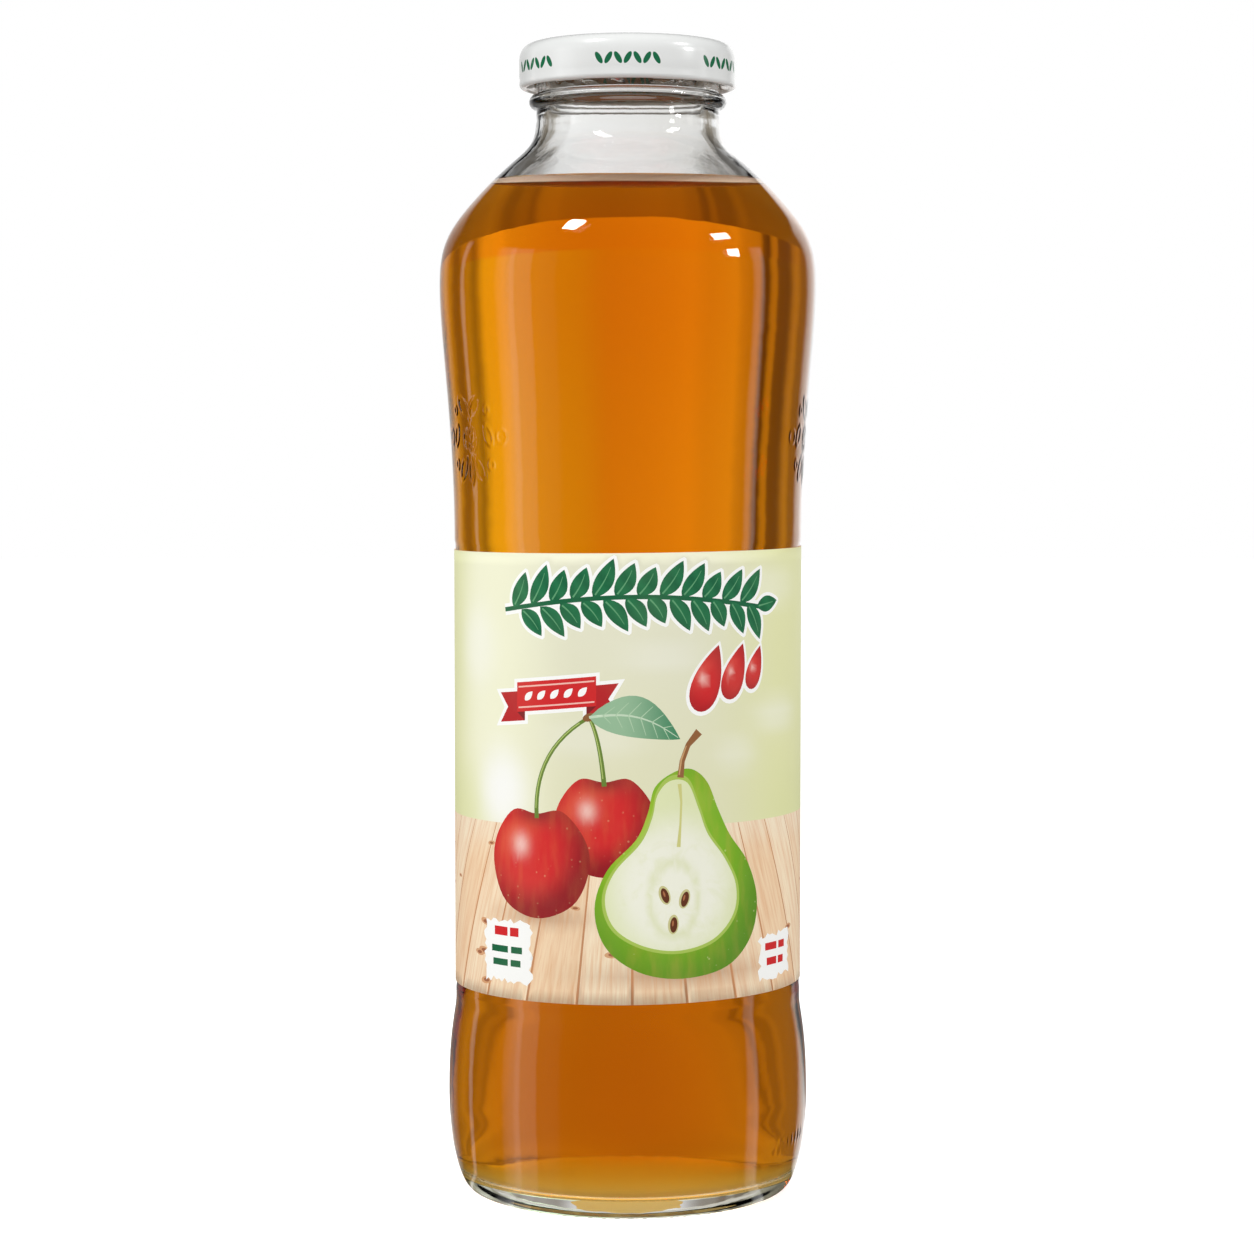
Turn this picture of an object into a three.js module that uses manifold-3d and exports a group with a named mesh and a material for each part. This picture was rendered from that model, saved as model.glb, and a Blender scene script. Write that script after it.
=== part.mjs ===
// One-litre glass juice bottle: the clear bottle, the drink in it, a paper label round its body and
// a white lug cap. Millimetres, +Z up. The origin is the middle of the ring that the bottle stands on,
// and the front of the label faces -Y.

import * as THREE from 'three';
import { mergeVertices } from 'three/addons/utils/BufferGeometryUtils.js';
import Module from 'manifold-3d';

const { degToRad, lerp, smoothstep } = THREE.MathUtils;

// Fineness: facets round a turned piece, steps along a curve of the outside, of the inside and of an edge
const FACETS = 48;
const OUTSIDE_STEPS = 5;
const INSIDE_STEPS = 3;
const EDGE_STEPS = 3;
const CLEARANCE = 0.3;

// Outside of the glass from the standing ring up to the neck; a pair is [radius, height]
const STANDING_RING_INNER = 33.2;
const STANDING_RING_OUTER = 36.45;
const HEEL_HANDLES = [2.2, 14.5];
const BELLY = [41.75, 23.1];
const BELLY_HANDLE = 14.1;
const WAIST_BOTTOM = [40.04, 44.8];
const WAIST_BOTTOM_HANDLE = 3.3;
const WAIST_TOP = [40.15, 151.0];
const WAIST_TOP_HANDLE = 25.5;
const CROWN = [43.41, 209.2];
const CROWN_HANDLES = [11.9, 8.7];
const SHOULDER = [34.84, 229.5];
const SHOULDER_LEAN = 0.74;
const SHOULDER_HANDLES = [10.7, 19.1];
const NECK = [20.97, 252.6];
const NECK_HANDLE = 14.5;

// Recessed panel that the label is stuck to
const PANEL_RADIUS = 39.7;
const PANEL_BOTTOM = 47.4;
const PANEL_TOP = 150.4;

// Bead under the cap, and the finish that the cap screws on
const FINISH_RADIUS = 21.05;
const BEAD_HEIGHT = 251.5;
const BEAD_RADIUS = 1.65;
const LIP_HEIGHT = 263.2;
const LIP_ROUNDING = 1.1;

// Thread ramps on the finish, one over each lug of the cap
const LUGS = 6;
const FIRST_LUG = degToRad(-37);
const THREAD_REACH = 1.85;
const THREAD_ROOT = 1;
const THREAD_THICKNESS = 1.5;
const THREAD_SPAN = degToRad(46);
const THREAD_HEIGHTS = [257.3, 258.5];
const THREAD_STEPS = 6;

// Thickness of the glass, thicker from the shoulder up, and the floor and underside
const BODY_WALL = 2.7;
const NECK_WALL = 3.4;
const WALL_CHANGE = [222, 246];
const FLOOR_HEIGHT = 4.6;
const FLOOR_CENTRE = 8.6;
const INNER_HEEL = 7.0;
const PUNT_HEIGHT = 3.6;
const PUNT_EDGE = [31.4, 1.3];
const RING_ROUNDING = 0.6;

// Drink
const FILL_HEIGHT = 229.5;

// Label: a paper sleeve stuck on slightly askew, which rises this much for each millimetre to the right
const LABEL_BOTTOM = 49.1;
const LABEL_TOP = 149.15;
const LABEL_PAPER = 0.25;
const LABEL_SKEW = 0.0094;

// Cap: pressed tinplate with a rolled bottom edge, turned in at its lugs
const CAP_RADIUS = 24.95;
const CAP_SHEET = 0.45;
const CAP_TOP = 264.8;
const CAP_ROUNDING = 4.1;
const CAP_RIM_INNER = 18.6;
const CAP_PANEL = [17.4, 264.1];
const CAP_BUTTON = [7.8, 264.4];
const CAP_BUTTON_EDGE = 1.2;
const CURL_RADIUS = 1.0;
const CURL_HEIGHT = 255.5;
const LUG_SPAN = degToRad(17);
const LUG_REACH = 1.3;
const LUG_THICKNESS = 0.9;
const LUG_STEPS = 3;

const wasm = await Module();
wasm.setup();

const point = ([radius, height]) => new THREE.Vector2(radius, height);
const above = ([radius, height], rise) => new THREE.Vector2(radius, height + rise);

// The outside wall in five curves, from the standing ring to the neck, with the label panel left out
function wallCurves() {
  const ring = new THREE.Vector2(STANDING_RING_OUTER, 0);
  const ringHandle = new THREE.Vector2(STANDING_RING_OUTER + HEEL_HANDLES[0], 0);
  const lean = new THREE.Vector2(-Math.sin(SHOULDER_LEAN), Math.cos(SHOULDER_LEAN));
  const intoShoulder = point(SHOULDER).addScaledVector(lean, -SHOULDER_HANDLES[0]);
  const outOfShoulder = point(SHOULDER).addScaledVector(lean, SHOULDER_HANDLES[1]);
  return {
    heel: new THREE.CubicBezierCurve(ring, ringHandle, above(BELLY, -HEEL_HANDLES[1]), point(BELLY)),
    belly: new THREE.CubicBezierCurve(point(BELLY), above(BELLY, BELLY_HANDLE),
      above(WAIST_BOTTOM, -WAIST_BOTTOM_HANDLE), point(WAIST_BOTTOM)),
    chest: new THREE.CubicBezierCurve(point(WAIST_TOP), above(WAIST_TOP, WAIST_TOP_HANDLE),
      above(CROWN, -CROWN_HANDLES[0]), point(CROWN)),
    crown: new THREE.CubicBezierCurve(point(CROWN), above(CROWN, CROWN_HANDLES[1]),
      intoShoulder, point(SHOULDER)),
    neck: new THREE.CubicBezierCurve(point(SHOULDER), outOfShoulder,
      above(NECK, -NECK_HANDLE), point(NECK)),
  };
}

// Points of a curve, set back square to it by the thickness of the glass and a further inset
function setBack(wall, inset) {
  return Array.from({ length: INSIDE_STEPS + 1 }, (_, i) => {
    const place = wall.getPoint(i / INSIDE_STEPS);
    const along = wall.getTangent(i / INSIDE_STEPS);
    const depth = inset + lerp(BODY_WALL, NECK_WALL, smoothstep(place.y, ...WALL_CHANGE));
    return new THREE.Vector2(place.x - along.y * depth, place.y + along.x * depth);
  });
}

// A rising outline cut off level at a height that lies within it
function cutAt(outline, height) {
  const next = outline.findIndex((p) => p.y >= height);
  const [low, high] = [outline[next - 1], outline[next]];
  return [...outline.slice(0, next), low.clone().lerp(high, (height - low.y) / (high.y - low.y))];
}

// Inside of the bottle from the middle of its floor up to its mouth, drawn in by an inset
function insideOutline(inset) {
  const sides = Object.values(wallCurves())
    .flatMap((wall) => setBack(wall, inset))
    .filter((p) => p.y > FLOOR_HEIGHT + INNER_HEEL);
  const floor = new THREE.Path();
  floor.moveTo(0, FLOOR_CENTRE + inset);
  floor.quadraticCurveTo(PUNT_EDGE[0] / 2, FLOOR_CENTRE + inset,
    sides[0].x - INNER_HEEL, FLOOR_HEIGHT + inset);
  floor.quadraticCurveTo(sides[0].x, FLOOR_HEIGHT + inset, ...sides[0].toArray());
  const mouth = new THREE.Vector2(sides.at(-1).x, LIP_HEIGHT - LIP_ROUNDING);
  return [...floor.getPoints(INSIDE_STEPS), ...sides.slice(1), mouth];
}

// Outside of the bottle from the middle of its underside to its lip
function outsideOutline() {
  const wall = wallCurves();
  const under = new THREE.Path();
  under.moveTo(0, PUNT_HEIGHT);
  under.quadraticCurveTo(PUNT_EDGE[0] / 2, PUNT_HEIGHT, ...PUNT_EDGE);
  under.quadraticCurveTo(STANDING_RING_INNER - RING_ROUNDING, 0, STANDING_RING_INNER, 0);
  const finish = new THREE.Path();
  finish.absarc(FINISH_RADIUS, BEAD_HEIGHT, BEAD_RADIUS, -Math.PI / 2, Math.PI / 2);
  finish.lineTo(FINISH_RADIUS, LIP_HEIGHT - LIP_ROUNDING);
  finish.quadraticCurveTo(FINISH_RADIUS, LIP_HEIGHT, FINISH_RADIUS - LIP_ROUNDING, LIP_HEIGHT);
  return [
    ...under.getPoints(EDGE_STEPS),
    ...wall.heel.getPoints(OUTSIDE_STEPS),
    ...wall.belly.getPoints(OUTSIDE_STEPS).slice(1),
    new THREE.Vector2(PANEL_RADIUS, PANEL_BOTTOM),
    new THREE.Vector2(PANEL_RADIUS, PANEL_TOP),
    ...wall.chest.getPoints(OUTSIDE_STEPS),
    ...wall.crown.getPoints(OUTSIDE_STEPS).slice(1),
    ...wall.neck.getPoints(OUTSIDE_STEPS).slice(1).filter((p) => p.y < BEAD_HEIGHT - BEAD_RADIUS),
    ...finish.getPoints(EDGE_STEPS),
  ];
}

// The cap's sheet from the middle of its button to the top of its skirt, set in by an inset
function capOutline(inset) {
  const sheet = new THREE.Path();
  sheet.moveTo(0, CAP_BUTTON[1] - inset);
  sheet.lineTo(CAP_BUTTON[0], CAP_BUTTON[1] - inset);
  sheet.lineTo(CAP_BUTTON[0] + CAP_BUTTON_EDGE, CAP_PANEL[1] - inset);
  sheet.lineTo(CAP_PANEL[0], CAP_PANEL[1] - inset);
  sheet.lineTo(CAP_RIM_INNER, CAP_TOP - inset);
  sheet.lineTo(CAP_RADIUS - CAP_ROUNDING, CAP_TOP - inset);
  sheet.quadraticCurveTo(CAP_RADIUS - inset, CAP_TOP - inset, CAP_RADIUS - inset, CAP_TOP - CAP_ROUNDING);
  return sheet.getPoints(EDGE_STEPS);
}

// Turns an outline of radius and height round the Z axis
function turned(outline) {
  return new THREE.LatheGeometry(outline, FACETS).rotateX(Math.PI / 2);
}

// A block bent round the Z axis, which rises from one height to another; bearing 0 is the front
function bentBlock({ inner, outer, bearing, span, heights, thickness, steps }) {
  const block = new THREE.BoxGeometry(span, outer - inner, thickness, steps, 1, 1);
  const places = block.getAttribute('position');
  for (let i = 0; i < places.count; i++) {
    const angle = bearing + places.getX(i) - Math.PI / 2;
    const radius = (inner + outer) / 2 + places.getY(i);
    const height = lerp(...heights, places.getX(i) / span + 0.5) + places.getZ(i);
    places.setXYZ(i, radius * Math.cos(angle), radius * Math.sin(angle), height);
  }
  // Angle, radius and height are a left-handed set, so each triangle is turned over
  block.setIndex(Array.from(block.getIndex().array).reverse());
  return block;
}

// One block for each lug, spaced evenly round the neck
function roundNeck(block) {
  return Array.from({ length: LUGS }, (_, i) =>
    bentBlock({ ...block, bearing: FIRST_LUG + (i * 2 * Math.PI) / LUGS }));
}

function toSolid(geometry) {
  const bare = geometry.clone();
  bare.deleteAttribute('normal');
  bare.deleteAttribute('uv');
  const merged = mergeVertices(bare);
  const corners = merged.getIndex().array;
  const kept = [];
  for (let i = 0; i < corners.length; i += 3) {
    const triangle = corners.slice(i, i + 3);
    if (new Set(triangle).size === 3) kept.push(...triangle);
  }
  return new wasm.Manifold(new wasm.Mesh({
    numProp: 3,
    vertProperties: merged.getAttribute('position').array,
    triVerts: new Uint32Array(kept),
  }));
}

function joined(body, additions) {
  const solid = additions.reduce((whole, piece) => whole.add(toSolid(piece)), toSolid(body));
  const mesh = solid.getMesh();
  const geometry = new THREE.BufferGeometry();
  geometry.setAttribute('position', new THREE.BufferAttribute(mesh.vertProperties, 3));
  geometry.setIndex(new THREE.BufferAttribute(mesh.triVerts, 1));
  geometry.computeVertexNormals();
  return geometry;
}

function named(name, geometry, finish) {
  const mesh = new THREE.Mesh(geometry, new THREE.MeshStandardMaterial(finish));
  mesh.name = name;
  return mesh;
}

// Bottle: one turned wall, open at the mouth, with the thread ramps on its finish
function bottleGlass() {
  const inside = insideOutline(0);
  const mouthEdge = new THREE.Vector2(inside.at(-1).x + LIP_ROUNDING, LIP_HEIGHT);
  const wall = turned([...outsideOutline(), mouthEdge, ...inside.reverse()]);
  const threads = roundNeck({
    inner: FINISH_RADIUS - THREAD_ROOT,
    outer: FINISH_RADIUS + THREAD_REACH,
    span: THREAD_SPAN,
    heights: THREAD_HEIGHTS,
    thickness: THREAD_THICKNESS,
    steps: THREAD_STEPS,
  });
  return named('bottle_glass', joined(wall, threads),
    { color: 0xdfe3e1, roughness: 0.05, metalness: 0, transparent: true, opacity: 0.35 });
}

// Drink: fills the bottle up to its level, clear of the glass
function juice() {
  const outline = cutAt(insideOutline(CLEARANCE), FILL_HEIGHT);
  const surface = new THREE.Vector2(0, FILL_HEIGHT);
  return named('juice', turned([...outline, surface]), { color: 0xd06c06, roughness: 0.1, metalness: 0 });
}

// Label: a sleeve round the panel, higher on its right
function label() {
  const inner = PANEL_RADIUS + CLEARANCE;
  const outer = inner + LABEL_PAPER;
  const section = [
    [inner, LABEL_BOTTOM], [outer, LABEL_BOTTOM], [outer, LABEL_TOP], [inner, LABEL_TOP],
    [inner, LABEL_BOTTOM],
  ];
  const sleeve = turned(section.map(point));
  const skew = new THREE.Matrix4().makeShear(0, LABEL_SKEW, 0, 0, 0, 0);
  return named('label', sleeve.applyMatrix4(skew), { color: 0xe9ebbb, roughness: 0.75, metalness: 0 });
}

// Cap: top panel with its button, rim, skirt and rolled edge, open underneath, with its lugs
function cap() {
  const curl = new THREE.Path();
  curl.absarc(CAP_RADIUS - CURL_RADIUS, CURL_HEIGHT, CURL_RADIUS, Math.PI, 2 * Math.PI);
  const skirtFoot = [
    [CAP_RADIUS - CAP_SHEET, CURL_HEIGHT + CURL_RADIUS],
    [CAP_RADIUS - CURL_RADIUS, CURL_HEIGHT + CURL_RADIUS],
    [CAP_RADIUS - CURL_RADIUS * 2, CURL_HEIGHT],
  ];
  const outline = [
    ...curl.getPoints(EDGE_STEPS),
    ...capOutline(0).reverse(),
    ...capOutline(CAP_SHEET),
    ...skirtFoot.map(point),
  ];
  const lugs = roundNeck({
    inner: CAP_RADIUS - CURL_RADIUS * 2 - LUG_REACH,
    outer: CAP_RADIUS - CURL_RADIUS,
    span: LUG_SPAN,
    heights: [CURL_HEIGHT, CURL_HEIGHT],
    thickness: LUG_THICKNESS,
    steps: LUG_STEPS,
  });
  return named('cap', joined(turned(outline), lugs), { color: 0xe8e9e8, roughness: 0.25, metalness: 0 });
}

const bottle = new THREE.Group();
bottle.add(bottleGlass(), juice(), label(), cap());

export default bottle;
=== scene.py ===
"""Glass juice bottle, dressed for the studio: the moulded bottle, the drink in it, its printed paper
label and its enamelled twist-off cap. Metres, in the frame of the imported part: +Z up, the front of the
label faces -Y."""

import math

import bpy
import numpy as np
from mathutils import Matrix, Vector, geometry


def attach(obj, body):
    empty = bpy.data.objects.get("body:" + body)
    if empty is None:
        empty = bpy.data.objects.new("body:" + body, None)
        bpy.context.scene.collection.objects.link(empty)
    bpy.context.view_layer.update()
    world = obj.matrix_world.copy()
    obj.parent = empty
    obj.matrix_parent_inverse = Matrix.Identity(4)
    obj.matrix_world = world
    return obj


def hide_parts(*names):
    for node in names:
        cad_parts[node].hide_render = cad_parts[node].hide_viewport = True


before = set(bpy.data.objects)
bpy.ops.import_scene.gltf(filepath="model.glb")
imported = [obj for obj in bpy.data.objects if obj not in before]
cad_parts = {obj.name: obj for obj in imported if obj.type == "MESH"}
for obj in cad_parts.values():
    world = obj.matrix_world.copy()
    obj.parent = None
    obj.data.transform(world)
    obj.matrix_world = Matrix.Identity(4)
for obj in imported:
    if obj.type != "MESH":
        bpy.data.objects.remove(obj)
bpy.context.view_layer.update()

bl_info = {
    "name": "Juice Bottle",
    "version": (1, 0, 0),
    "blender": (4, 5, 0),
    "location": "3D View > Sidebar > Juice Bottle",
    "description": "Makes a glass bottle of juice with its label, its cap and a studio round it",
    "category": "Object",
}

MM = 0.001

# Outside of the glass, in millimetres; a pair is radius and height, and handles are those of its curves
RING_INNER, RING_OUTER = 33.2, 36.45
HEEL_HANDLES = (2.2, 14.5)
BELLY, BELLY_HANDLE = (41.75, 23.1), 14.1
WAIST_LOW, WAIST_LOW_HANDLE = (40.04, 44.8), 3.3
WAIST_HIGH, WAIST_HIGH_HANDLE = (40.15, 151.0), 25.5
CROWN, CROWN_HANDLES = (43.41, 209.2), (11.9, 8.7)
SHOULDER, SHOULDER_LEAN, SHOULDER_HANDLES = (34.84, 229.5), 0.74, (10.7, 19.1)
NECK, NECK_HANDLE = (20.97, 252.6), 14.5
PANEL_RADIUS, PANEL_BOTTOM, PANEL_TOP = 39.95, 47.4, 150.4
FINISH_RADIUS, BEAD_HEIGHT, BEAD_RADIUS = 21.05, 251.5, 1.65
LIP_HEIGHT, LIP_ROUNDING = 263.2, 1.1

# Wall, floor and underside of the glass, the ribs under its ring, and how far the drink reaches into it
BODY_WALL, NECK_WALL, WALL_CHANGE = 2.7, 3.4, (222.0, 246.0)
FLOOR_HEIGHT, FLOOR_CENTRE, INNER_HEEL = 4.6, 8.6, 7.0
PUNT_HEIGHT, PUNT_EDGE, RING_ROUNDING = 3.6, (31.4, 1.3), 0.6
KNURL_HEIGHT, KNURL_RADIUS, KNURL_LENGTH, KNURL_WIDTH = 0.35, 34.8, 1.6, 1.15
JUICE_OVERLAP = 0.15
GLASS_IOR, JUICE_IOR = 1.52, 1.345

# The open surface climbs the glass as capillarity has it: its scale, how far it turns up, how high that is
CAPILLARY, MENISCUS_TURN = 3.2, math.radians(111)
MENISCUS = 2 * CAPILLARY * math.sin(MENISCUS_TURN / 2)

# Relief of the glass: the ornament on both sides of the chest, with what it reaches below and above its
# middle; the ribs on the heel by bearing in degrees and height; a groove in the neck; and slight waves
EMBLEM_MIDDLE, EMBLEM_BELOW, EMBLEM_ABOVE, EMBLEM_ROWS = 173.8, 10.4, 10.9, 56
EMBLEM_BEARINGS, EMBLEM_REACH = (math.radians(-60), math.radians(82)), math.radians(20)
EMBLEM_RELIEF = 0.12
HEEL_RIBS, HEEL_RIB_REACH, HEEL_RIB_PITCH = (64.0, 14.0), math.radians(13), 3.1
HEEL_RIB_HALF, HEEL_RIB_CUT, HEEL_RIB_RELIEF = (0.75, 1.5), 1.6, 0.12
GROOVE_HEIGHT, GROOVE_WIDTH, GROOVE_DEPTH = 247.2, 0.5, 0.14
WAVE_DEPTH, WAVED_HEIGHTS, PANEL_FILLET = 0.012, ((12, 46), (60, 240)), 0.25
# Height in metres over which fine streaks set in
NECK_STREAKS = (0.232, 0.238)
# Ovals of the ornament, on both sides of its middle: middle, half their size, lean
EMBLEM_OVALS = (((2.7, 7.4), (3.1, 1.55), 0.75), ((7.6, 1.2), (2.3, 1.2), -1.1),
                ((4.1, -6.2), (2.9, 1.35), -0.95), ((12.0, 0.9), (1.55, 1.55), 0),
                ((8.2, -5.4), (1.0, 1.0), 0), ((7.4, 6.9), (0.85, 0.85), 0))
FINE_ZONES = (*((bearing, EMBLEM_REACH) for bearing in EMBLEM_BEARINGS),
              (math.radians(HEEL_RIBS[0]), HEEL_RIB_REACH))
FINE_STEP, COARSE_STEP = math.radians(0.42), math.radians(2.4)

# Thread ramps on the finish and the lugs of the cap that sit under them
LUGS, FIRST_LUG = 6, math.radians(-37)
THREAD_HEIGHTS, THREAD_SPAN, THREAD_REACH = (257.3, 258.5), math.radians(46), 1.85

# Label, as unrolled: millimetres to the right of the front and above the base
LABEL_BOTTOM, LABEL_TOP = 49.1, 149.15
LABEL_RADIUS, LABEL_PAPER, LABEL_LAP = 40.22, 0.12, 7.0
HALF_ROUND = math.pi * LABEL_RADIUS
LAP_START, LAP_RAMP, LAP_LIFT = HALF_ROUND - 0.5, 1.5, LABEL_PAPER + 0.02
PRINT_COLUMNS, PRINT_ROWS, PRINT_FRONT = 117, 34, 62
# Table: height of its far edge, width of a plank at the near one, how far out planks reach, and the point
# that their joints run towards
TABLE_LINE, PLANK_WIDTH, PLANK_REACH, VANISHING = 88.6, 12.5, 118, (1.0, 172.0)
# Soft glows on the ground and shadows on the planks: middle, reach across and up, strength
GLOWS = ((-31, 96, 7.5, 9.5, 0.95), (40, 112, 9, 4, 0.4), (8, 126, 10, 3, 0.25), (-8, 108, 12, 4, 0.25),
         (36, 141, 12, 5, 0.3), (-40, 128, 7, 9, 0.4), (26, 104, 6, 4, 0.3))
SHADOWS = ((-20, 68.3, 12, 2.2, 0.55), (13, 55.6, 20, 2.4, 0.6))

# Cap
CAP_RADIUS, CAP_SHEET, CAP_TOP, CAP_ROUNDING = 24.95, 0.45, 264.8, 4.1
CAP_RIM_INNER, CAP_PANEL, CAP_BUTTON, CAP_BUTTON_EDGE = 18.6, (17.4, 264.1), (7.8, 264.4), 1.2
CURL_RADIUS, CURL_HEIGHT = 1.0, 255.5
# Printed leaves on the skirt: their middle height, how many degrees apart, and half their width and length
PRINT_HEIGHT, PRINT_PITCH, PRINT_LEAF = 258.9, 5.0, (0.62, 1.5)


# Colours

def linear(red, green, blue):
    """A colour given as it looks on a screen, 0 to 255, as the linear values that Blender works in."""
    shown = np.array([red, green, blue]) / 255
    return np.where(shown <= 0.04045, shown / 12.92, ((shown + 0.055) / 1.055) ** 2.4)


GREEN = linear(12, 101, 62)
RED = linear(212, 26, 32)
WHITE = linear(252, 252, 249)
GREY_INK = linear(96, 110, 96)


def smooth(low, high, x):
    """Rises smoothly from 0 at low to 1 at high."""
    t = np.clip((x - low) / (high - low), 0, 1)
    return t * t * (3 - 2 * t)


# Outlines

def bezier(start, handle_a, handle_b, end, steps):
    t = np.linspace(0, 1, steps + 1)[:, None]
    a, b, c, d = (np.array(p, float) for p in (start, handle_a, handle_b, end))
    return (1 - t) ** 3 * a + 3 * (1 - t) ** 2 * t * b + 3 * (1 - t) * t ** 2 * c + t ** 3 * d


def parabola(start, middle, end, steps):
    t = np.linspace(0, 1, steps + 1)[:, None]
    a, b, c = (np.array(p, float) for p in (start, middle, end))
    return (1 - t) ** 2 * a + 2 * (1 - t) * t * b + t ** 2 * c


def arc(centre, radius, start, end, steps):
    t = np.linspace(math.radians(start), math.radians(end), steps + 1)
    return np.stack([centre[0] + radius * np.cos(t), centre[1] + radius * np.sin(t)], 1)


def above(place, rise):
    """A place moved up by a rise."""
    return (place[0], place[1] + rise)


def wall_curves(steps):
    """The outside wall from the standing ring to the neck: heel, belly, chest, crown and neck."""
    lean = np.array([-math.sin(SHOULDER_LEAN), math.cos(SHOULDER_LEAN)])
    before = np.array(SHOULDER) - lean * SHOULDER_HANDLES[0]
    after = np.array(SHOULDER) + lean * SHOULDER_HANDLES[1]
    foot, beside = (RING_OUTER, KNURL_HEIGHT), (RING_OUTER + HEEL_HANDLES[0], KNURL_HEIGHT)
    curves = (
        (foot, beside, above(BELLY, -HEEL_HANDLES[1]), BELLY),
        (BELLY, above(BELLY, BELLY_HANDLE), above(WAIST_LOW, -WAIST_LOW_HANDLE), WAIST_LOW),
        (WAIST_HIGH, above(WAIST_HIGH, WAIST_HIGH_HANDLE), above(CROWN, -CROWN_HANDLES[0]), CROWN),
        (CROWN, above(CROWN, CROWN_HANDLES[1]), before, SHOULDER),
        (SHOULDER, after, above(NECK, -NECK_HANDLE), NECK))
    return [bezier(*curve, count) for curve, count in zip(curves, steps)]


def set_back(outline, inset):
    """The outline moved into the glass by its thickness there and a further inset."""
    along = np.gradient(outline, axis=0)
    along /= np.linalg.norm(along, axis=1)[:, None]
    depth = inset + BODY_WALL + (NECK_WALL - BODY_WALL) * smooth(*WALL_CHANGE, outline[:, 1])
    return outline + np.stack([-along[:, 1], along[:, 0]], 1) * depth[:, None]


def inside_outline(inset, steps=(26, 12, 26, 18, 22)):
    """Inside of the bottle from the middle of its floor to its mouth, drawn in by an inset."""
    curves = wall_curves(steps)
    sides = set_back(np.concatenate([*(curve[:-1] for curve in curves), curves[-1][-1:]]), inset)
    sides = sides[sides[:, 1] > FLOOR_HEIGHT + INNER_HEEL]
    middle, edge = FLOOR_CENTRE + inset, FLOOR_HEIGHT + inset
    low = (sides[0][0] - INNER_HEEL, edge)
    return np.concatenate([
        parabola((0, middle), (PUNT_EDGE[0] / 2, middle), low, 10)[:-1],
        parabola(low, (sides[0][0], edge), sides[0], 10), sides[1:]])


def meniscus(steps=28):
    """Edge of the open surface from the glass inwards: how far in each point is and how high it stands."""
    nearly_flat = 0.03
    turn = np.linspace(MENISCUS_TURN, nearly_flat, steps)
    pace = CAPILLARY * np.cos(turn) / (2 * np.sin(turn / 2))
    inwards = np.cumsum(np.append(0, (pace[1:] + pace[:-1]) / 2 * -np.diff(turn)))
    return inwards, 2 * CAPILLARY * np.sin(turn / 2)


# Meshes

def add_object(name, vertices, faces, material, smooth_faces=True):
    mesh = bpy.data.meshes.new(name)
    mesh.from_pydata([tuple(map(float, v)) for v in vertices], [], [tuple(map(int, f)) for f in faces])
    mesh.validate()
    mesh.polygons.foreach_set("use_smooth", [smooth_faces] * len(mesh.polygons))
    piece = bpy.data.objects.new(name, mesh)
    bpy.context.scene.collection.objects.link(piece)
    mesh.materials.append(material)
    return piece


def volume(mesh):
    """The space that a closed mesh holds; negative if its faces point inwards."""
    mesh.calc_loop_triangles()
    places = np.empty(len(mesh.vertices) * 3)
    mesh.vertices.foreach_get("co", places)
    corners = np.empty(len(mesh.loop_triangles) * 3, np.int32)
    mesh.loop_triangles.foreach_get("vertices", corners)
    a, b, c = places.reshape(-1, 3)[corners.reshape(-1, 3)].transpose(1, 0, 2)
    return float(np.einsum("ij,ij->i", a, np.cross(b, c)).sum() / 6)


def set_values(mesh, name, kind, domain, key, values):
    """Writes a named value for each face or corner of a mesh."""
    mesh.attributes.new(name, kind, domain).data.foreach_set(key, np.ravel(values))


def require_solid(piece):
    if volume(piece.data) <= 0:
        raise RuntimeError(f"{piece.name} is inside out")


def turned_grid(rings, angles):
    """Vertices and faces of a closed turned form. Each ring gives the radii and heights along the angles,
    and the first and the last one are single points on the axis."""
    columns = len(angles)
    vertices = [(0, 0, rings[0][1][0])]
    for radii, heights in rings[1:-1]:
        vertices.extend(np.stack([radii * np.cos(angles), radii * np.sin(angles), heights], 1))
    vertices.append((0, 0, rings[-1][1][0]))
    after = [(column + 1) % columns for column in range(columns)]
    faces = [(0, 1 + after[c], 1 + c) for c in range(columns)]
    for ring in range(len(rings) - 3):
        low = 1 + ring * columns
        high = low + columns
        faces.extend((low + c, low + after[c], high + after[c], high + c) for c in range(columns))
    faces.extend((high + c, high + after[c], len(vertices) - 1) for c in range(columns))
    return np.array(vertices), faces


# Materials

class Value:
    """A number that a shader works out. Sums and products of values are written as plain expressions."""

    def __init__(self, shader, socket):
        self.shader = shader
        self.socket = socket

    def math(self, operation, *values):
        return self.shader.node("Math", {"operation": operation}, dict(enumerate(values)))

    def __add__(self, other):
        return self.math("ADD", self, other)

    def __sub__(self, other):
        return self.math("SUBTRACT", self, other)

    def __mul__(self, other):
        return self.math("MULTIPLY", self, other)

    def __truediv__(self, other):
        return self.math("DIVIDE", self, other)

    def __pow__(self, other):
        return self.math("POWER", self, other)

    def __rsub__(self, other):
        return self.math("SUBTRACT", other, self)

    def __rtruediv__(self, other):
        return self.math("DIVIDE", other, self)

    def __gt__(self, other):
        return self.math("GREATER_THAN", self, other)

    def __lt__(self, other):
        return self.math("LESS_THAN", self, other)

    __radd__ = __add__
    __rmul__ = __mul__

    def of(self, operation, *others):
        return self.math(operation, self, *others)

    def step(self, low, high):
        """Rises smoothly from 0 at low to 1 at high."""
        settings = {"interpolation_type": "SMOOTHSTEP"}
        return self.shader.node("MapRange", settings, {0: self, 1: low, 2: high})


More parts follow.
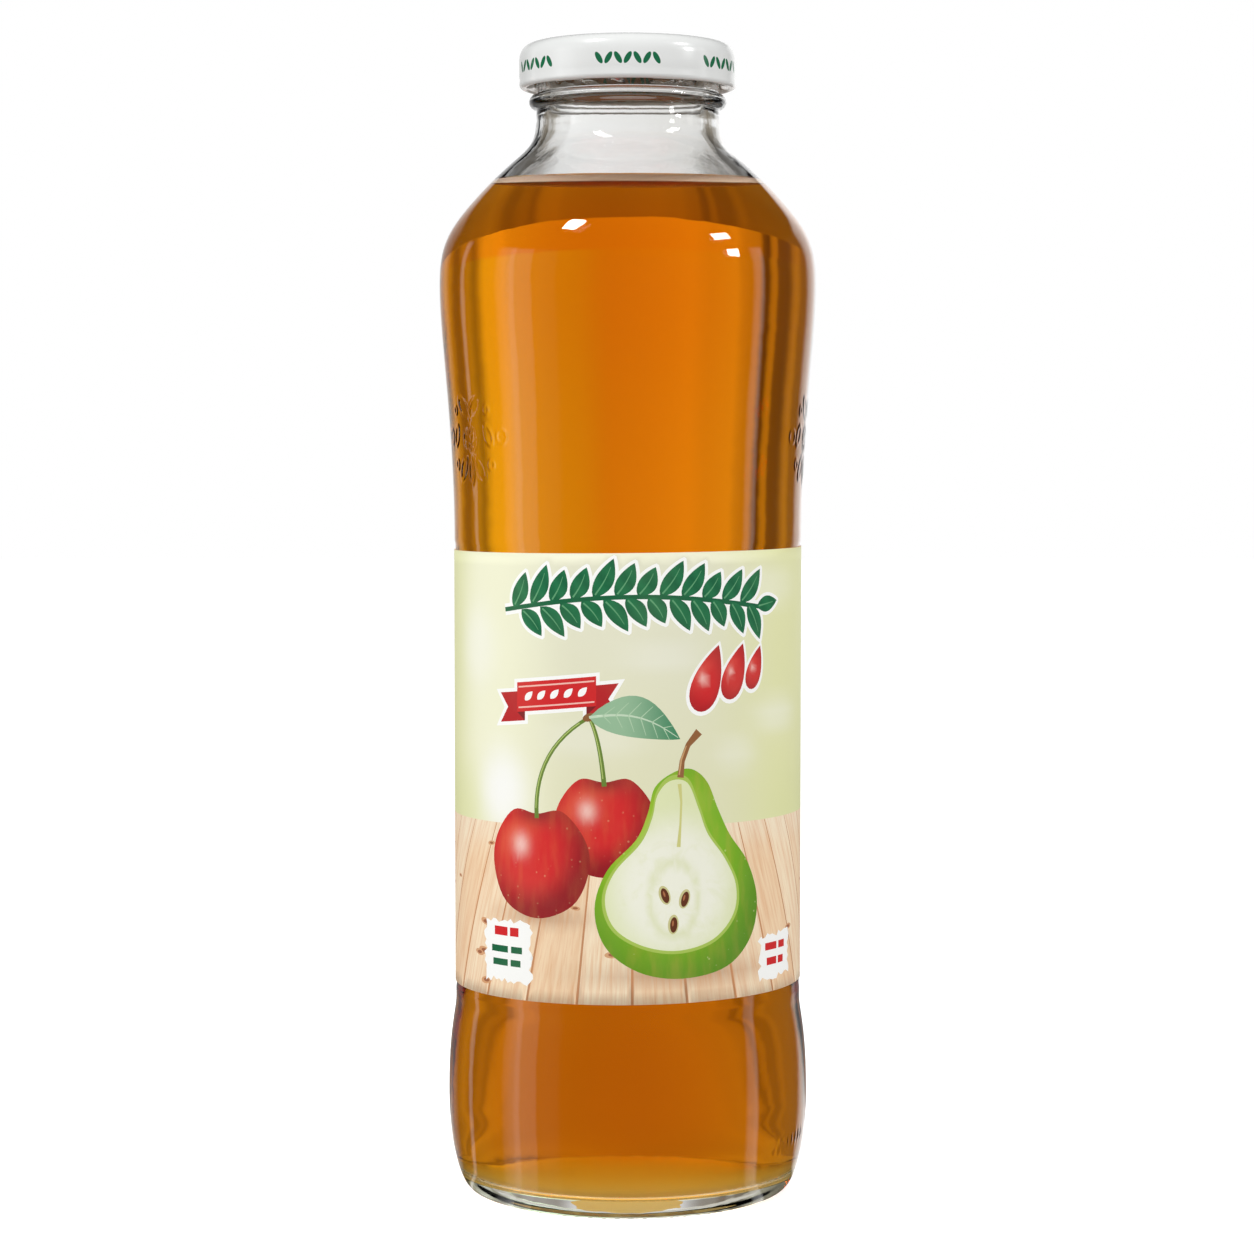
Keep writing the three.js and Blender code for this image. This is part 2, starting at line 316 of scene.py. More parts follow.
class Shader:
    """The nodes of one material or of the world."""

    def __init__(self, name, world=False):
        self.owner = (bpy.data.worlds if world else bpy.data.materials).new(name)
        self.owner.use_nodes = True
        self.tree = self.owner.node_tree
        self.tree.nodes.clear()
        self.world = world

    def node(self, kind, settings=None, sockets=None, output=0):
        """Adds a node, sets its settings, then the values or links of its sockets by name or number."""
        node = self.tree.nodes.new("ShaderNode" + kind)
        for name, value in (settings or {}).items():
            if name == "stops":
                self.set_stops(node.color_ramp, value)
            else:
                setattr(node, name, value)
        for key, value in (sockets or {}).items():
            if isinstance(value, Value):
                self.tree.links.new(value.socket, node.inputs[key])
            else:
                node.inputs[key].default_value = value
        return Value(self, node.outputs[output])

    def set_stops(self, ramp, stops):
        while len(ramp.elements) < len(stops):
            ramp.elements.new(1.0)
        for element, (position, colour) in zip(ramp.elements, stops):
            element.position = position
            element.color = (*colour, 1)

    def mix(self, factor, a, b, blend="MIX"):
        """One colour changed into another by a factor."""
        settings = {"data_type": "RGBA", "blend_type": blend}
        a, b = (c if isinstance(c, Value) else (*map(float, c), 1.0) for c in (a, b))
        return self.node("Mix", settings, {0: factor, 6: a, 7: b}, output=2)

    def cover(self, factor, under, over):
        """One surface covered by another by a factor."""
        return self.node("MixShader", None, {0: factor, 1: under, 2: over})

    def simple(self, kind, colour=(1, 1, 1), **values):
        """A surface or a light of one colour."""
        colour = colour if isinstance(colour, Value) else (*colour, 1)
        return self.node(kind, None, {"Color": colour, **values})

    def attribute(self, name, output=2):
        return self.node("Attribute", {"attribute_name": name}, output=output)

    def place(self):
        """The point's place in the object, in metres."""
        return self.node("TexCoord", output=3)

    def parts(self, vector):
        split = self.node("SeparateXYZ", sockets={0: vector})
        return [Value(self, socket) for socket in split.socket.node.outputs]

    def noise(self, vector, scale, detail=3.0, roughness=0.5, distortion=0.0):
        values = {"Vector": vector, "Scale": scale, "Detail": detail, "Roughness": roughness,
                  "Distortion": distortion}
        return self.node("TexNoise", None, values)

    def stretched(self, vector, scale):
        return self.node("Mapping", {"vector_type": "POINT"}, {"Vector": vector, "Scale": scale})

    def bump(self, height, distance, strength=1.0):
        return self.node("Bump", None, {"Height": height, "Distance": distance, "Strength": strength})

    def finish(self, surface, inside=None):
        """Links the surface, and what fills it, to the output."""
        output = self.tree.nodes.new("ShaderNodeOutputWorld" if self.world else "ShaderNodeOutputMaterial")
        self.tree.links.new(surface.socket, output.inputs["Surface"])
        if inside:
            self.tree.links.new(inside.socket, output.inputs["Volume"])
        return self.owner


def lets_lamps_through(shader, surface):
    """The surface as seen, but clear to the light of lamps, so that what is behind it is lit."""
    shadow_ray = shader.node("LightPath", output=1)
    return shader.cover(shadow_ray, surface, shader.simple("BsdfTransparent"))


def glass_material():
    """Clear glass with slight waves, and with finer streaks in the neck."""
    shader = Shader("bottle_glass_clear")
    place = shader.place()
    waves = shader.noise(shader.stretched(place, (1, 1, 0.12)), 55, 2.0)
    skin = shader.noise(place, 210, 2.0)
    neck = shader.parts(place)[2].step(*NECK_STREAKS)
    streaks = shader.noise(shader.stretched(place, (1, 1, 0.4)), 130, 3.0) * neck
    relief = 0.00022
    glass = shader.node("BsdfPrincipled", None, {
        "Base Color": (0.975, 0.98, 0.975, 1), "Roughness": 0.0, "IOR": GLASS_IOR,
        "Transmission Weight": 1.0, "Normal": shader.bump(waves + skin * 0.12 + streaks * 0.4, relief)})
    return shader.finish(lets_lamps_through(shader, glass))


def stippled_glass_material():
    """The underside, which is moulded with a fine stipple that scatters light, less so on its ring."""
    shader = Shader("bottle_glass_stippled")
    glass = shader.node("BsdfPrincipled", None, {
        "Base Color": (0.97, 0.97, 0.96, 1), "Roughness": 0.3, "IOR": GLASS_IOR,
        "Transmission Weight": 1.0})
    scattered = shader.simple("BsdfTranslucent", (1, 0.69, 0.2))
    above_ring = shader.parts(shader.place())[2].step(0.0015, 0.0045)
    glass = shader.cover(above_ring * 0.45 + 0.4, glass, scattered)
    return shader.finish(lets_lamps_through(shader, glass))


def wet_glass_material():
    """The inside of the glass where the drink touches it. It bends light as glass against juice does."""
    shader = Shader("bottle_glass_wet")
    glass = shader.simple("BsdfGlass", Roughness=0.0, IOR=GLASS_IOR / JUICE_IOR)
    return shader.finish(lets_lamps_through(shader, glass))


def juice_material(colours):
    """Amber drink. Its open surface bends and mirrors light as water does. Its sides lie just inside the
    wall of the bottle, which bends light for both. The edge that climbs the glass is a thin film: a pale
    band above, and below it a dark line that is painted shade."""
    shader = Shader("juice_amber")
    surface = shader.simple("BsdfGlass", Roughness=0.0, IOR=JUICE_IOR)
    drink = shader.cover(shader.attribute("surface"), shader.simple("BsdfTransparent"), surface)
    film = shader.attribute("film")
    # Painted shade: a dark brown translucent film makes the dark line where the surface meets the glass; a
    # pale one makes the band above it
    dark, pale = (shader.simple("BsdfTranslucent", tint) for tint in ((0.2, 0.06, 0.01), (1.0, 0.83, 0.73)))
    drink = shader.cover(film.step(0.0, 0.4) * 0.75, drink, dark)
    drink = shader.cover(film.step(0.5, 1.0) * 0.95, drink, pale)
    absorption = shader.simple("VolumeAbsorption", colours.juice_passes, Density=colours.juice_strength)
    return shader.finish(lets_lamps_through(shader, drink), absorption)


def enamel_material(colours):
    """Glossy white enamel with a ring of small printed leaves round the skirt of the cap."""
    shader = Shader("cap_enamel_white")
    place = shader.place()
    x, y, z = shader.parts(place)
    millimetres = z * 1000
    turn = y.of("ARCTAN2", x) * (180 / math.pi) + 90
    height = millimetres - PRINT_HEIGHT
    number = ((turn + PRINT_PITCH / 2) / PRINT_PITCH).of("FLOOR")
    across = (turn - number * PRINT_PITCH) * (CAP_RADIUS * math.pi / 180)
    side = (number / 2).of("FRACT") * 4 - 1
    leaned = across * 0.85 + height * 0.5 * side
    length = height * 0.85 * side - across * 0.5
    body = 1 - (leaned / PRINT_LEAF[0]) ** 2 - (length / PRINT_LEAF[1]) ** 2
    # Of each twelve places for a leaf, six or seven hold one
    leaf = body.step(0.0, 0.12) * (((number + 3) / 12).of("FRACT") < 6.5 / 12)
    printed = leaf * millimetres.step(256.0, 256.2) * (1 - millimetres.step(261.6, 261.8))
    grime = shader.noise(place, 160, 4.0)
    white = shader.mix(grime.step(0.35, 0.75) * 0.12, colours.cap_white, (0.68, 0.69, 0.68))
    radius = (x * x + y * y) ** 0.5 * 1000
    # Painted shade: the inside of the skirt and the underside of the top panel are brown, for the dark
    # brown band under the cap
    skirt_inside = (radius < CAP_RADIUS - CAP_SHEET / 2) * (millimetres < CAP_TOP - CAP_ROUNDING)
    panel_under = (radius < CAP_RIM_INNER - 0.5) * (millimetres < CAP_PANEL[1] - CAP_SHEET / 2)
    painted_shade_inside = skirt_inside.of("MAXIMUM", panel_under) * (millimetres > CURL_HEIGHT + CURL_RADIUS + 0.15)
    white = shader.mix(painted_shade_inside, white, linear(150, 112, 66))
    colour = shader.mix(printed, white, linear(28, 105, 70))
    orange_peel = shader.bump(shader.noise(place, 900, 2.0), 0.00001)
    return shader.finish(shader.node("BsdfPrincipled", None, {
        "Base Color": colour, "Roughness": grime * 0.1 + 0.17, "IOR": 1.5, "Coat Weight": 0.4,
        "Coat Roughness": 0.06, "Normal": orange_peel}))


def paper_material():
    """Printed paper. The print's colours come with the mesh; wood, skin and flesh get their own texture."""
    shader = Shader("label_paper_printed")
    place = shader.place()
    colour = shader.attribute("print", 0)
    wood, skin, flesh = shader.parts(shader.attribute("texture", 1))
    planks = shader.node("UVMap", {"uv_map": "planks"})
    strands = shader.noise(shader.stretched(planks, (1.0, 0.055, 1.0)), 2.3, 5.0, 0.6, 0.5)
    bands = shader.noise(shader.stretched(planks, (0.32, 0.02, 1.0)), 1.6, 2.0, 0.5, 1.2)
    grain = (strands.step(0.42, 0.72) * 0.55 + bands.step(0.35, 0.7) * 0.6) * wood
    freckles = shader.node("TexVoronoi", None, {"Vector": place, "Scale": 620.0})
    dots = (1 - freckles.step(0.1, 0.2)) * shader.noise(place, 300, 2.0).step(0.5, 0.62) * skin
    streaks = shader.noise(shader.stretched(place, (1, 1, 0.25)), 420, 3.0).step(0.4, 0.75) * skin
    veins = shader.noise(place, 190, 4.0, 0.6, 0.8).step(0.45, 0.7) * flesh
    fibres = shader.noise(place, 2600, 3.0)
    clouds = shader.noise(place, 70, 3.0)
    for amount, tint in ((grain * 0.5, (218, 146, 88)), (streaks * 0.22, (240, 170, 90)),
                         (dots * 0.55, (246, 236, 178)), (veins * 0.3, (222, 226, 176)),
                         (clouds.step(0.3, 0.8) * 0.05, (200, 204, 160))):
        colour = shader.mix(amount, colour, linear(*tint))
    cockle = shader.noise(shader.stretched(place, (1, 1, 0.5)), 38, 2.0)
    return shader.finish(shader.node("BsdfPrincipled", None, {
        "Base Color": colour, "Roughness": fibres * 0.12 + 0.42, "IOR": 1.45, "Specular IOR Level": 0.35,
        "Normal": shader.bump(fibres * 0.02 + cockle, 0.00035, 0.6)}))


# Geometry Nodes

class Tree:
    """A Geometry Nodes tree built node by node, with named inputs."""

    def __init__(self, name, inputs):
        self.group = bpy.data.node_groups.new(name, "GeometryNodeTree")
        face = self.group.interface
        face.new_socket("Outline", in_out="INPUT", socket_type="NodeSocketGeometry")
        for label, (kind, value) in inputs.items():
            face.new_socket(label, in_out="INPUT", socket_type="NodeSocket" + kind).default_value = value
        face.new_socket("Geometry", in_out="OUTPUT", socket_type="NodeSocketGeometry")
        self.inputs = self.group.nodes.new("NodeGroupInput")
        self.output = self.group.nodes.new("NodeGroupOutput")

    def add(self, kind, settings=None, sockets=None):
        node = self.group.nodes.new(kind)
        for name, value in (settings or {}).items():
            setattr(node, name, value)
        for key, value in (sockets or {}).items():
            if isinstance(value, bpy.types.NodeSocket):
                self.group.links.new(value, node.inputs[key])
            elif isinstance(value, str):
                self.group.links.new(self.inputs.outputs[value], node.inputs[key])
            else:
                node.inputs[key].default_value = value
        return node

    def math(self, operation, *values):
        return self.add("ShaderNodeMath", {"operation": operation}, dict(enumerate(values))).outputs[0]

    def vector(self, **values):
        return self.add("ShaderNodeCombineXYZ", None, values).outputs[0]

    def turns(self, spacing, first):
        """The angle of each of a row of evenly spaced things."""
        return self.math("MULTIPLY_ADD", self.add("GeometryNodeInputIndex").outputs[0], spacing, first)

    def copies(self, count, spot, thing, facing, **values):
        """That many copies of a thing, each at its spot and facing its own way."""
        line = self.add("GeometryNodeMeshLine", None, {"Count": count, "Offset": (0, 0, 0)})
        places = self.add("GeometryNodeSetPosition", None, {"Geometry": line.outputs[0], "Position": spot})
        return self.add("GeometryNodeInstanceOnPoints", None, {
            "Points": places.outputs[0], "Instance": thing, "Rotation": facing, **values}).outputs[0]

    def join(self, *sockets):
        node = self.group.nodes.new("GeometryNodeJoinGeometry")
        for socket in sockets:
            self.group.links.new(socket, node.inputs[0])
        return node.outputs[0]

    def close(self, socket, material):
        """Ends the tree: instances made real, then its material."""
        real = self.add("GeometryNodeRealizeInstances", None, {0: socket})
        finished = self.add("GeometryNodeSetMaterial", None, {0: real.outputs[0], "Material": material})
        self.group.links.new(finished.outputs[0], self.output.inputs[0])
        return self.group


def ring_of(tree, facets):
    sockets = {"Resolution": facets, "Radius": 1.0}
    return tree.add("GeometryNodeCurvePrimitiveCircle", {"mode": "RADIUS"}, sockets).outputs[0]


def lathe(tree):
    """The outline turned round the Z axis. The outline's x is its radius less one metre, y its depth."""
    swept = tree.add("GeometryNodeCurveToMesh", None, {
        "Curve": ring_of(tree, "Facets"), "Profile Curve": "Outline"})
    closed = tree.add("GeometryNodeMergeByDistance", None, {0: swept.outputs[0], "Distance": 0.000001})
    return tree.add("GeometryNodeSetShadeSmooth", None, {0: closed.outputs[0]}).outputs[0]


def outline_curve(name, outline):
    """A curve object that holds an outline of radius and height, in millimetres, for a lathe tree."""
    curve = bpy.data.curves.new(name, "CURVE")
    curve.dimensions = "3D"
    line = curve.splines.new("POLY")
    line.points.add(len(outline) - 1)
    for point, (radius, height) in zip(line.points, outline):
        point.co = (radius * MM - 1.0, -height * MM, 0, 1)
    return curve


def grown(name, data, group, values):
    """Runs a tree on the data and returns its result as an object with a plain mesh."""
    source = bpy.data.objects.new(name + "_source", data)
    bpy.context.scene.collection.objects.link(source)
    modifier = source.modifiers.new("Grow", "NODES")
    modifier.node_group = group
    for item in group.interface.items_tree:
        if item.in_out == "INPUT" and item.name in values:
            modifier[item.identifier] = values[item.name]
    bpy.context.view_layer.update()
    evaluated = source.evaluated_get(bpy.context.evaluated_depsgraph_get())
    mesh = bpy.data.meshes.new_from_object(evaluated)
    mesh.name = name
    bpy.data.objects.remove(source)
    piece = bpy.data.objects.new(name, mesh)
    bpy.context.scene.collection.objects.link(piece)
    if volume(mesh) < 0:
        mesh.flip_normals()
    return piece


def ribs_tree(material):
    """Small domed ribs, flat on top, set evenly round the Z axis, each one pointing at the axis."""
    tree = Tree("Ring of ribs", {
        "Count": ("Int", 8), "Radius": ("Float", 0.03), "Height": ("Float", 0.0),
        "First angle": ("Float", 0.0), "Spacing": ("Float", 0.1),
        "Rib size": ("Vector", (0.001, 0.0005, 0.0005))})
    turn = tree.turns("Spacing", "First angle")
    x, y = (tree.math("MULTIPLY", tree.math(way, turn), "Radius") for way in ("COSINE", "SINE"))
    ball = tree.add("GeometryNodeMeshUVSphere", None, {"Segments": 12, "Rings": 8, "Radius": 1.0})
    place = tree.add("ShaderNodeSeparateXYZ", None, {0: tree.add("GeometryNodeInputPosition").outputs[0]})
    lower = tree.math("MINIMUM", place.outputs[2], 0.0)
    flat = tree.vector(X=place.outputs[0], Y=place.outputs[1], Z=lower)
    dome = tree.add("GeometryNodeSetPosition", None, {0: ball.outputs[0], "Position": flat})
    ribs = tree.copies("Count", tree.vector(X=x, Y=y, Z="Height"), dome.outputs[0], tree.vector(Z=turn),
                       Scale="Rib size")
    return tree.close(ribs, material)


# Glass

def emblem_height(across, up):
    """Relief of the moulded ornament, 0 to 1: a flower of petals in a ring, over two leaves and dots.
    Across and up are in millimetres from its middle."""
    def ridge(middle, size, lean=0.0, half=0.55):
        c, s = math.cos(lean), math.sin(lean)
        x, y = across - middle[0], up - middle[1]
        away = (np.hypot((x * c + y * s) / size[0], (-x * s + y * c) / size[1]) - 1) * min(size)
        return np.clip(1 - (away / half) ** 2, 0, 1) ** 2

    relief = np.maximum(ridge((0, 0.4), (3.3, 3.3)), ridge((0, -7.0), (1.2, 2.6)))
    for k in range(6):
        lean = k * math.pi / 3 + 0.3
        petal = (math.cos(lean) * 1.5, 0.4 + math.sin(lean) * 1.5)
        relief = np.maximum(relief, ridge(petal, (1.5, 0.62), lean, 0.3))
    for (x, y), size, lean in EMBLEM_OVALS:
        for side in (-1, 1):
            relief = np.maximum(relief, ridge((side * x, y), size, side * lean))
    return relief


def off_bearing(bearings, middle):
    """How far bearings are from a middle one, the short way round."""
    return (bearings - middle + math.pi) % (2 * math.pi) - math.pi


def glass_angles():
    """Angles round the bottle, from the front and close together where its relief is fine."""
    bearing = 0.0
    bearings = []
    while bearing < 2 * math.pi:
        bearings.append(bearing)
        fine = any(abs(off_bearing(bearing, middle)) < reach for middle, reach in FINE_ZONES)
        bearing += FINE_STEP if fine else COARSE_STEP
    return np.array(bearings) - math.pi / 2, np.array(bearings)


def glass_rings(bearings, level):
    """Rings of the bottle from the middle of its underside up, over its lip and down its inside, and the
    number of the first one inside."""
    ones = np.ones_like(bearings)
    from_emblems = off_bearing(bearings[:, None], np.array(EMBLEM_BEARINGS))
    heel, belly, chest, crown, neck = wall_curves((34, 12, 40, 22, 26))
    low, high = EMBLEM_MIDDLE - EMBLEM_BELOW, EMBLEM_MIDDLE + EMBLEM_ABOVE
    heights = np.linspace(low, high, EMBLEM_ROWS)
    rows = np.stack([np.interp(heights, chest[:, 1], chest[:, 0]), heights], 1)
    chest = np.concatenate([chest[chest[:, 1] <= low - 0.1], rows, chest[chest[:, 1] >= high + 0.1]])
    bead = arc((FINISH_RADIUS, BEAD_HEIGHT), BEAD_RADIUS, -90, 90, 12)
    neck = neck[neck[:, 1] < BEAD_HEIGHT - BEAD_RADIUS - 0.15]
    finish = [(FINISH_RADIUS, height) for height in (253.4, 254.4, *np.linspace(255.2, 260.6, 12), 261.6)]
    lip_foot = LIP_HEIGHT - LIP_ROUNDING
    lip = parabola((FINISH_RADIUS, lip_foot), (FINISH_RADIUS, LIP_HEIGHT),
                   (FINISH_RADIUS - LIP_ROUNDING, LIP_HEIGHT), 4)
    punt = parabola((0, PUNT_HEIGHT), (PUNT_EDGE[0] / 2, PUNT_HEIGHT), PUNT_EDGE, 10)[:-1]
    ring = parabola(PUNT_EDGE, (RING_INNER - RING_ROUNDING, KNURL_HEIGHT), (RING_INNER, KNURL_HEIGHT), 5)
    panel = [(WAIST_LOW[0], PANEL_BOTTOM - 2 * PANEL_FILLET),
             (WAIST_LOW[0] - 0.03, PANEL_BOTTOM - PANEL_FILLET)]
    panel += [(PANEL_RADIUS, height) for height in (PANEL_BOTTOM, 60, 80, 100, 120, 140, PANEL_TOP - 0.3)]
    outside = np.concatenate([punt, ring, heel, belly[1:], panel, chest, crown[1:], neck[1:], bead,
                              finish, lip])
    inside = inside_outline(0, (16, 8, 20, 14, 18))
    wet = level + MENISCUS
    wet_edge = [(np.interp(wet, inside[:, 1], inside[:, 0]), wet)]
    inside = np.concatenate([inside[inside[:, 1] < wet - 0.2], wet_edge, inside[inside[:, 1] > wet + 0.2],
                             [(inside[-1][0], lip_foot)]])
    mouth = [(inside[-1][0] + LIP_ROUNDING, LIP_HEIGHT), (inside[-1][0] + 0.3, LIP_HEIGHT - 0.3)]
    rings = []
    for radius, height in outside:
        radii = radius * ones + thread_relief(bearings, height)
        if low <= height <= high:
            relief = emblem_height(from_emblems * radius, height - EMBLEM_MIDDLE).max(axis=1)
            radii = radii + relief * EMBLEM_RELIEF
        if any(start < height < end for start, end in WAVED_HEIGHTS):
            waves = np.sin(bearings * 23 + 1.2) * np.cos(bearings * 7 + height * 0.01)
            radii = radii - WAVE_DEPTH * (1 + waves)
        if abs(height - HEEL_RIBS[1]) < HEEL_RIB_CUT:
            radii = radii + heel_rib_relief(bearings, height)
        radii = radii - GROOVE_DEPTH * math.exp(-((height - GROOVE_HEIGHT) / GROOVE_WIDTH) ** 2)
        rings.append((radii, height * ones))
    rings += [(radius * ones, height * ones) for radius, height in mouth]
    first_inside = len(rings)
    for radius, height in inside[::-1]:
        sway = 0.07 * np.sin(bearings * 5 + height * 0.03) + 0.05 * np.sin(bearings * 11 + 2)
        rings.append((radius + sway * min(1, radius / 30), height * ones))
    return rings, first_inside


def heel_rib_relief(bearings, height):
    """Eight short upright ribs low on the right of the front."""
    across = (np.degrees(bearings) - HEEL_RIBS[0] + 180) % 360 - 180
    nearest = np.clip(np.round(across / HEEL_RIB_PITCH - 0.5) + 0.5, -3.5, 3.5) * HEEL_RIB_PITCH
    across = (across - nearest) / HEEL_RIB_HALF[0]
    up = (height - HEEL_RIBS[1] - nearest * 0.03) / HEEL_RIB_HALF[1]
    return HEEL_RIB_RELIEF * np.clip(1 - (across ** 2 + up ** 2), 0, 1)


def thread_relief(bearings, height):
    """How far the thread ramps stand out of the finish at a height."""
    relief = np.zeros_like(bearings)
    for lug in range(LUGS):
        away = off_bearing(bearings, FIRST_LUG + lug * 2 * math.pi / LUGS) / THREAD_SPAN
        ramp = np.interp(away, (-0.5, 0.5), THREAD_HEIGHTS)
        ends = smooth(-0.5, -0.4, away) * (1 - smooth(0.4, 0.5, away))
        relief = np.maximum(relief, THREAD_REACH * ends * np.clip(1.3 - ((height - ramp) / 0.9) ** 2, 0, 1))
    return relief


# Label print

class Region:
    """A printed shape: its outline, the colour at any point of it, and how much it is wood, skin, flesh."""

    def __init__(self, outline, paint, texture, inner_rings):
        self.outline = np.array(outline, float)
        self.paint = paint if callable(paint) else (lambda places: np.tile(paint, (len(places), 1)))
        self.texture = texture
        self.inner_rings = inner_rings

    def contains(self, places):
        low, high = self.outline.min(0), self.outline.max(0)
        inside = np.zeros(len(places), bool)
        near = np.nonzero(((places > low) & (places < high)).all(axis=1))[0]
        x, y = places[near, 0], places[near, 1]
        odd = np.zeros(len(near), bool)
        for (ax, ay), (bx, by) in zip(self.outline, np.roll(self.outline, -1, axis=0)):
            if ay == by:
                continue
            crosses = (ay > y) != (by > y)
            odd ^= crosses & (x < (bx - ax) * (y - ay) / (by - ay) + ax)
        inside[near] = odd
        return inside


class Sheet(list):
    """Printed shapes, each over those before it."""

    def draw(self, outline, paint, texture=(0, 0, 0), inner_rings=()):
        self.append(Region(outline, paint, texture, inner_rings))


def rounded(points, steps=6):
    """A smooth closed line through the points."""
    points = np.array(points, float)
    t = np.linspace(0, 1, steps, endpoint=False)[:, None]
    parts = []
    for i in range(len(points)):
        p0, p1, p2, p3 = (points[(i + k) % len(points)] for k in (-1, 0, 1, 2))
        parts.append(0.5 * (2 * p1 + (p2 - p0) * t + (2 * p0 - 5 * p1 + 4 * p2 - p3) * t ** 2
                            + (3 * p1 - p0 - 3 * p2 + p3) * t ** 3))
    return np.concatenate(parts)


def box(left, low, right, high):
    return [(left, low), (right, low), (right, high), (left, high)]


def laid(x, y, base, lean):
    """Points turned by an angle and moved to a base."""
    c, s = math.cos(lean), math.sin(lean)
    return np.stack([base[0] + x * c - y * s, base[1] + x * s + y * c], 1)


def oval_line(centre, half_width, half_height, lean=0.0, count=36):
    t = np.linspace(0, 2 * math.pi, count, endpoint=False)
    return laid(half_width * np.cos(t), half_height * np.sin(t), centre, lean)


def leaf_line(base, direction, length, width, bend=0.0, count=11, grow=0.0):
    """A pointed leaf from its base in a direction, in degrees. Grow makes it larger all round."""
    t = np.linspace(0, 1, count)
    half = (width / 2) * np.sin(math.pi * t ** 0.85) ** 0.9
    half = half + grow * np.sin(math.pi * (0.06 + 0.88 * t)) ** 0.5
    along = -grow + t * (length + 2 * grow)
    curve = bend * np.sin(math.pi * t)
    # Without growth both ends are points, which the way back leaves out
    back = slice(1, -1) if half[0] < 1e-6 else slice(None)
    x, y = np.append(along, along[::-1][back]), np.append(curve + half, (curve - half)[::-1][back])
    return laid(x, y, base, math.radians(direction))


def stroke_line(path, widths):
    """A line drawn with a pen along a path, with its width at each point."""
    path = np.array(path, float)
    along = np.gradient(path, axis=0)
    along /= np.linalg.norm(along, axis=1)[:, None]
    side = np.stack([-along[:, 1], along[:, 0]], 1) * (np.array(widths, float)[:, None] / 2)
    return np.concatenate([path + side, (path - side)[::-1]])


def shrunk(outline, factor, towards=None):
    """The outline made smaller towards a point, or towards its middle."""
    centre = outline.mean(0) if towards is None else np.array(towards, float)
    return centre + (outline - centre) * factor


def blended(low, high, amount):
    """One colour changed into another by an amount at each point."""
    amount = np.asarray(amount)[..., None]
    return low * (1 - amount) + high * amount


def ground_paint(places):
    """Pale green ground, lighter at the left, with soft glows and stray light."""
    u, v = places[:, 0], places[:, 1]
    colour = blended(linear(230, 229, 204), linear(228, 227, 192), smooth(140, 92, v))
    colour = blended(colour, linear(241, 241, 211), smooth(-8, -34, u))
    colour = blended(colour, linear(230, 231, 181), smooth(-38, -54, u))
    colour = blended(colour, linear(229, 230, 177), smooth(12, 42, u))
    colour = blended(colour, linear(223, 226, 165), 0.6 * smooth(108, 90, v) * smooth(24, 46, np.abs(u)))
    for cu, cv, ru, rv, amount in GLOWS:
        glow = np.exp(-(((u - cu) / ru) ** 2 + ((v - cv) / rv) ** 2) ** 1.5)
        colour = blended(colour, linear(250, 250, 246), amount * glow)
    return colour


def wood_paint(places):
    """Pale planks, with the soft shadows of the fruit on them."""
    u, v = places[:, 0], places[:, 1]
    plank = np.floor(plank_across(places) / PLANK_WIDTH)
    tone = 0.5 + 0.5 * np.sin(plank * 2.4 + 0.7)
    colour = blended(linear(252, 232, 200), linear(245, 209, 168), tone * 0.65)
    colour = blended(colour, linear(249, 236, 210), 0.7 * smooth(80, TABLE_LINE, v))
    for cu, cv, ru, rv, amount in SHADOWS:
        dark = np.exp(-(((u - cu) / ru) ** 2 + ((v - cv) / rv) ** 2))
        colour = blended(colour, linear(150, 96, 66), amount * dark)
    return colour


def plank_across(places):
    """Place across the planks, which fan out from a far point above the table."""
    depth = (VANISHING[1] - places[:, 1]) / (VANISHING[1] - LABEL_BOTTOM)
    return (places[:, 0] - VANISHING[0]) / depth


def ball_paint(centre, size, dark, body, light, shine):
    """Colours of a round fruit lit from the upper left, with a soft highlight."""
    def paint(places):
        x = (places[:, 0] - centre[0]) / size[0]
        y = (places[:, 1] - centre[1]) / size[1]
        edge = np.hypot(x, y)
        lit = -0.55 * x + 0.75 * y
        colour = blended(body, dark, smooth(0.35, 1.25, edge - lit * 0.55))
        colour = blended(colour, light, 0.75 * smooth(0.25, 0.9, lit) * smooth(1.05, 0.6, edge))
        spot = np.exp(-(((x + 0.34) / 0.17) ** 2 + ((y - 0.32) / 0.2) ** 2))
        return blended(colour, shine, 0.7 * spot)
    return paint


def draw_sprig(sheet):
    """A leafy sprig across the top of the front, dark green with a white edge."""
    left, right, rise, foot = -30, 33, 3.0, 136.5

    def stem(u):
        return foot + rise * np.sin((u - left) / (right - left) * math.pi)

    path = np.array([(u, stem(u)) for u in np.linspace(left, right, 22)])
    leaves = []
    for k in range(12):
        u = -27.5 + k * 4.95
        slope = math.degrees(math.atan(rise * math.pi / 63 * math.cos((u - left) / 63 * math.pi)))
        size = 8.6 + 1.2 * math.sin(k * 1.9)
        leaves.append(((u, stem(u) + 0.2), slope + 58, size, 4.1, -0.5))
        leaves.append(((u + 2.3, stem(u) - 0.2), slope - 56, size * 0.92, 4.0, 0.5))
    leaves.append(((32.2, 136.6), 8, 7.5, 3.6, 0.0))
    sheet.draw(stroke_line(path, [2.6] * len(path)), WHITE)
    for base, direction, length, width, bend in leaves:
        sheet.draw(leaf_line(base, direction, length, width, bend, grow=0.75), WHITE)
    sheet.draw(stroke_line(path, [1.0] * len(path)), GREEN)

    def leaf_colour(places):
        waves = 0.5 + 0.5 * np.sin(places[:, 0] * 1.3 + places[:, 1])
        return blended(GREEN, linear(30, 128, 78), 0.6 * waves)

    for base, direction, length, width, bend in leaves:
        sheet.draw(leaf_line(base, direction, length, width, bend), leaf_colour)
        t = np.linspace(0.08, 0.8, 6)
        rib = laid(t * length, bend * np.sin(math.pi * t), base, math.radians(direction))
        sheet.draw(stroke_line(rib, np.linspace(0.4, 0.12, 6)), linear(92, 160, 112))


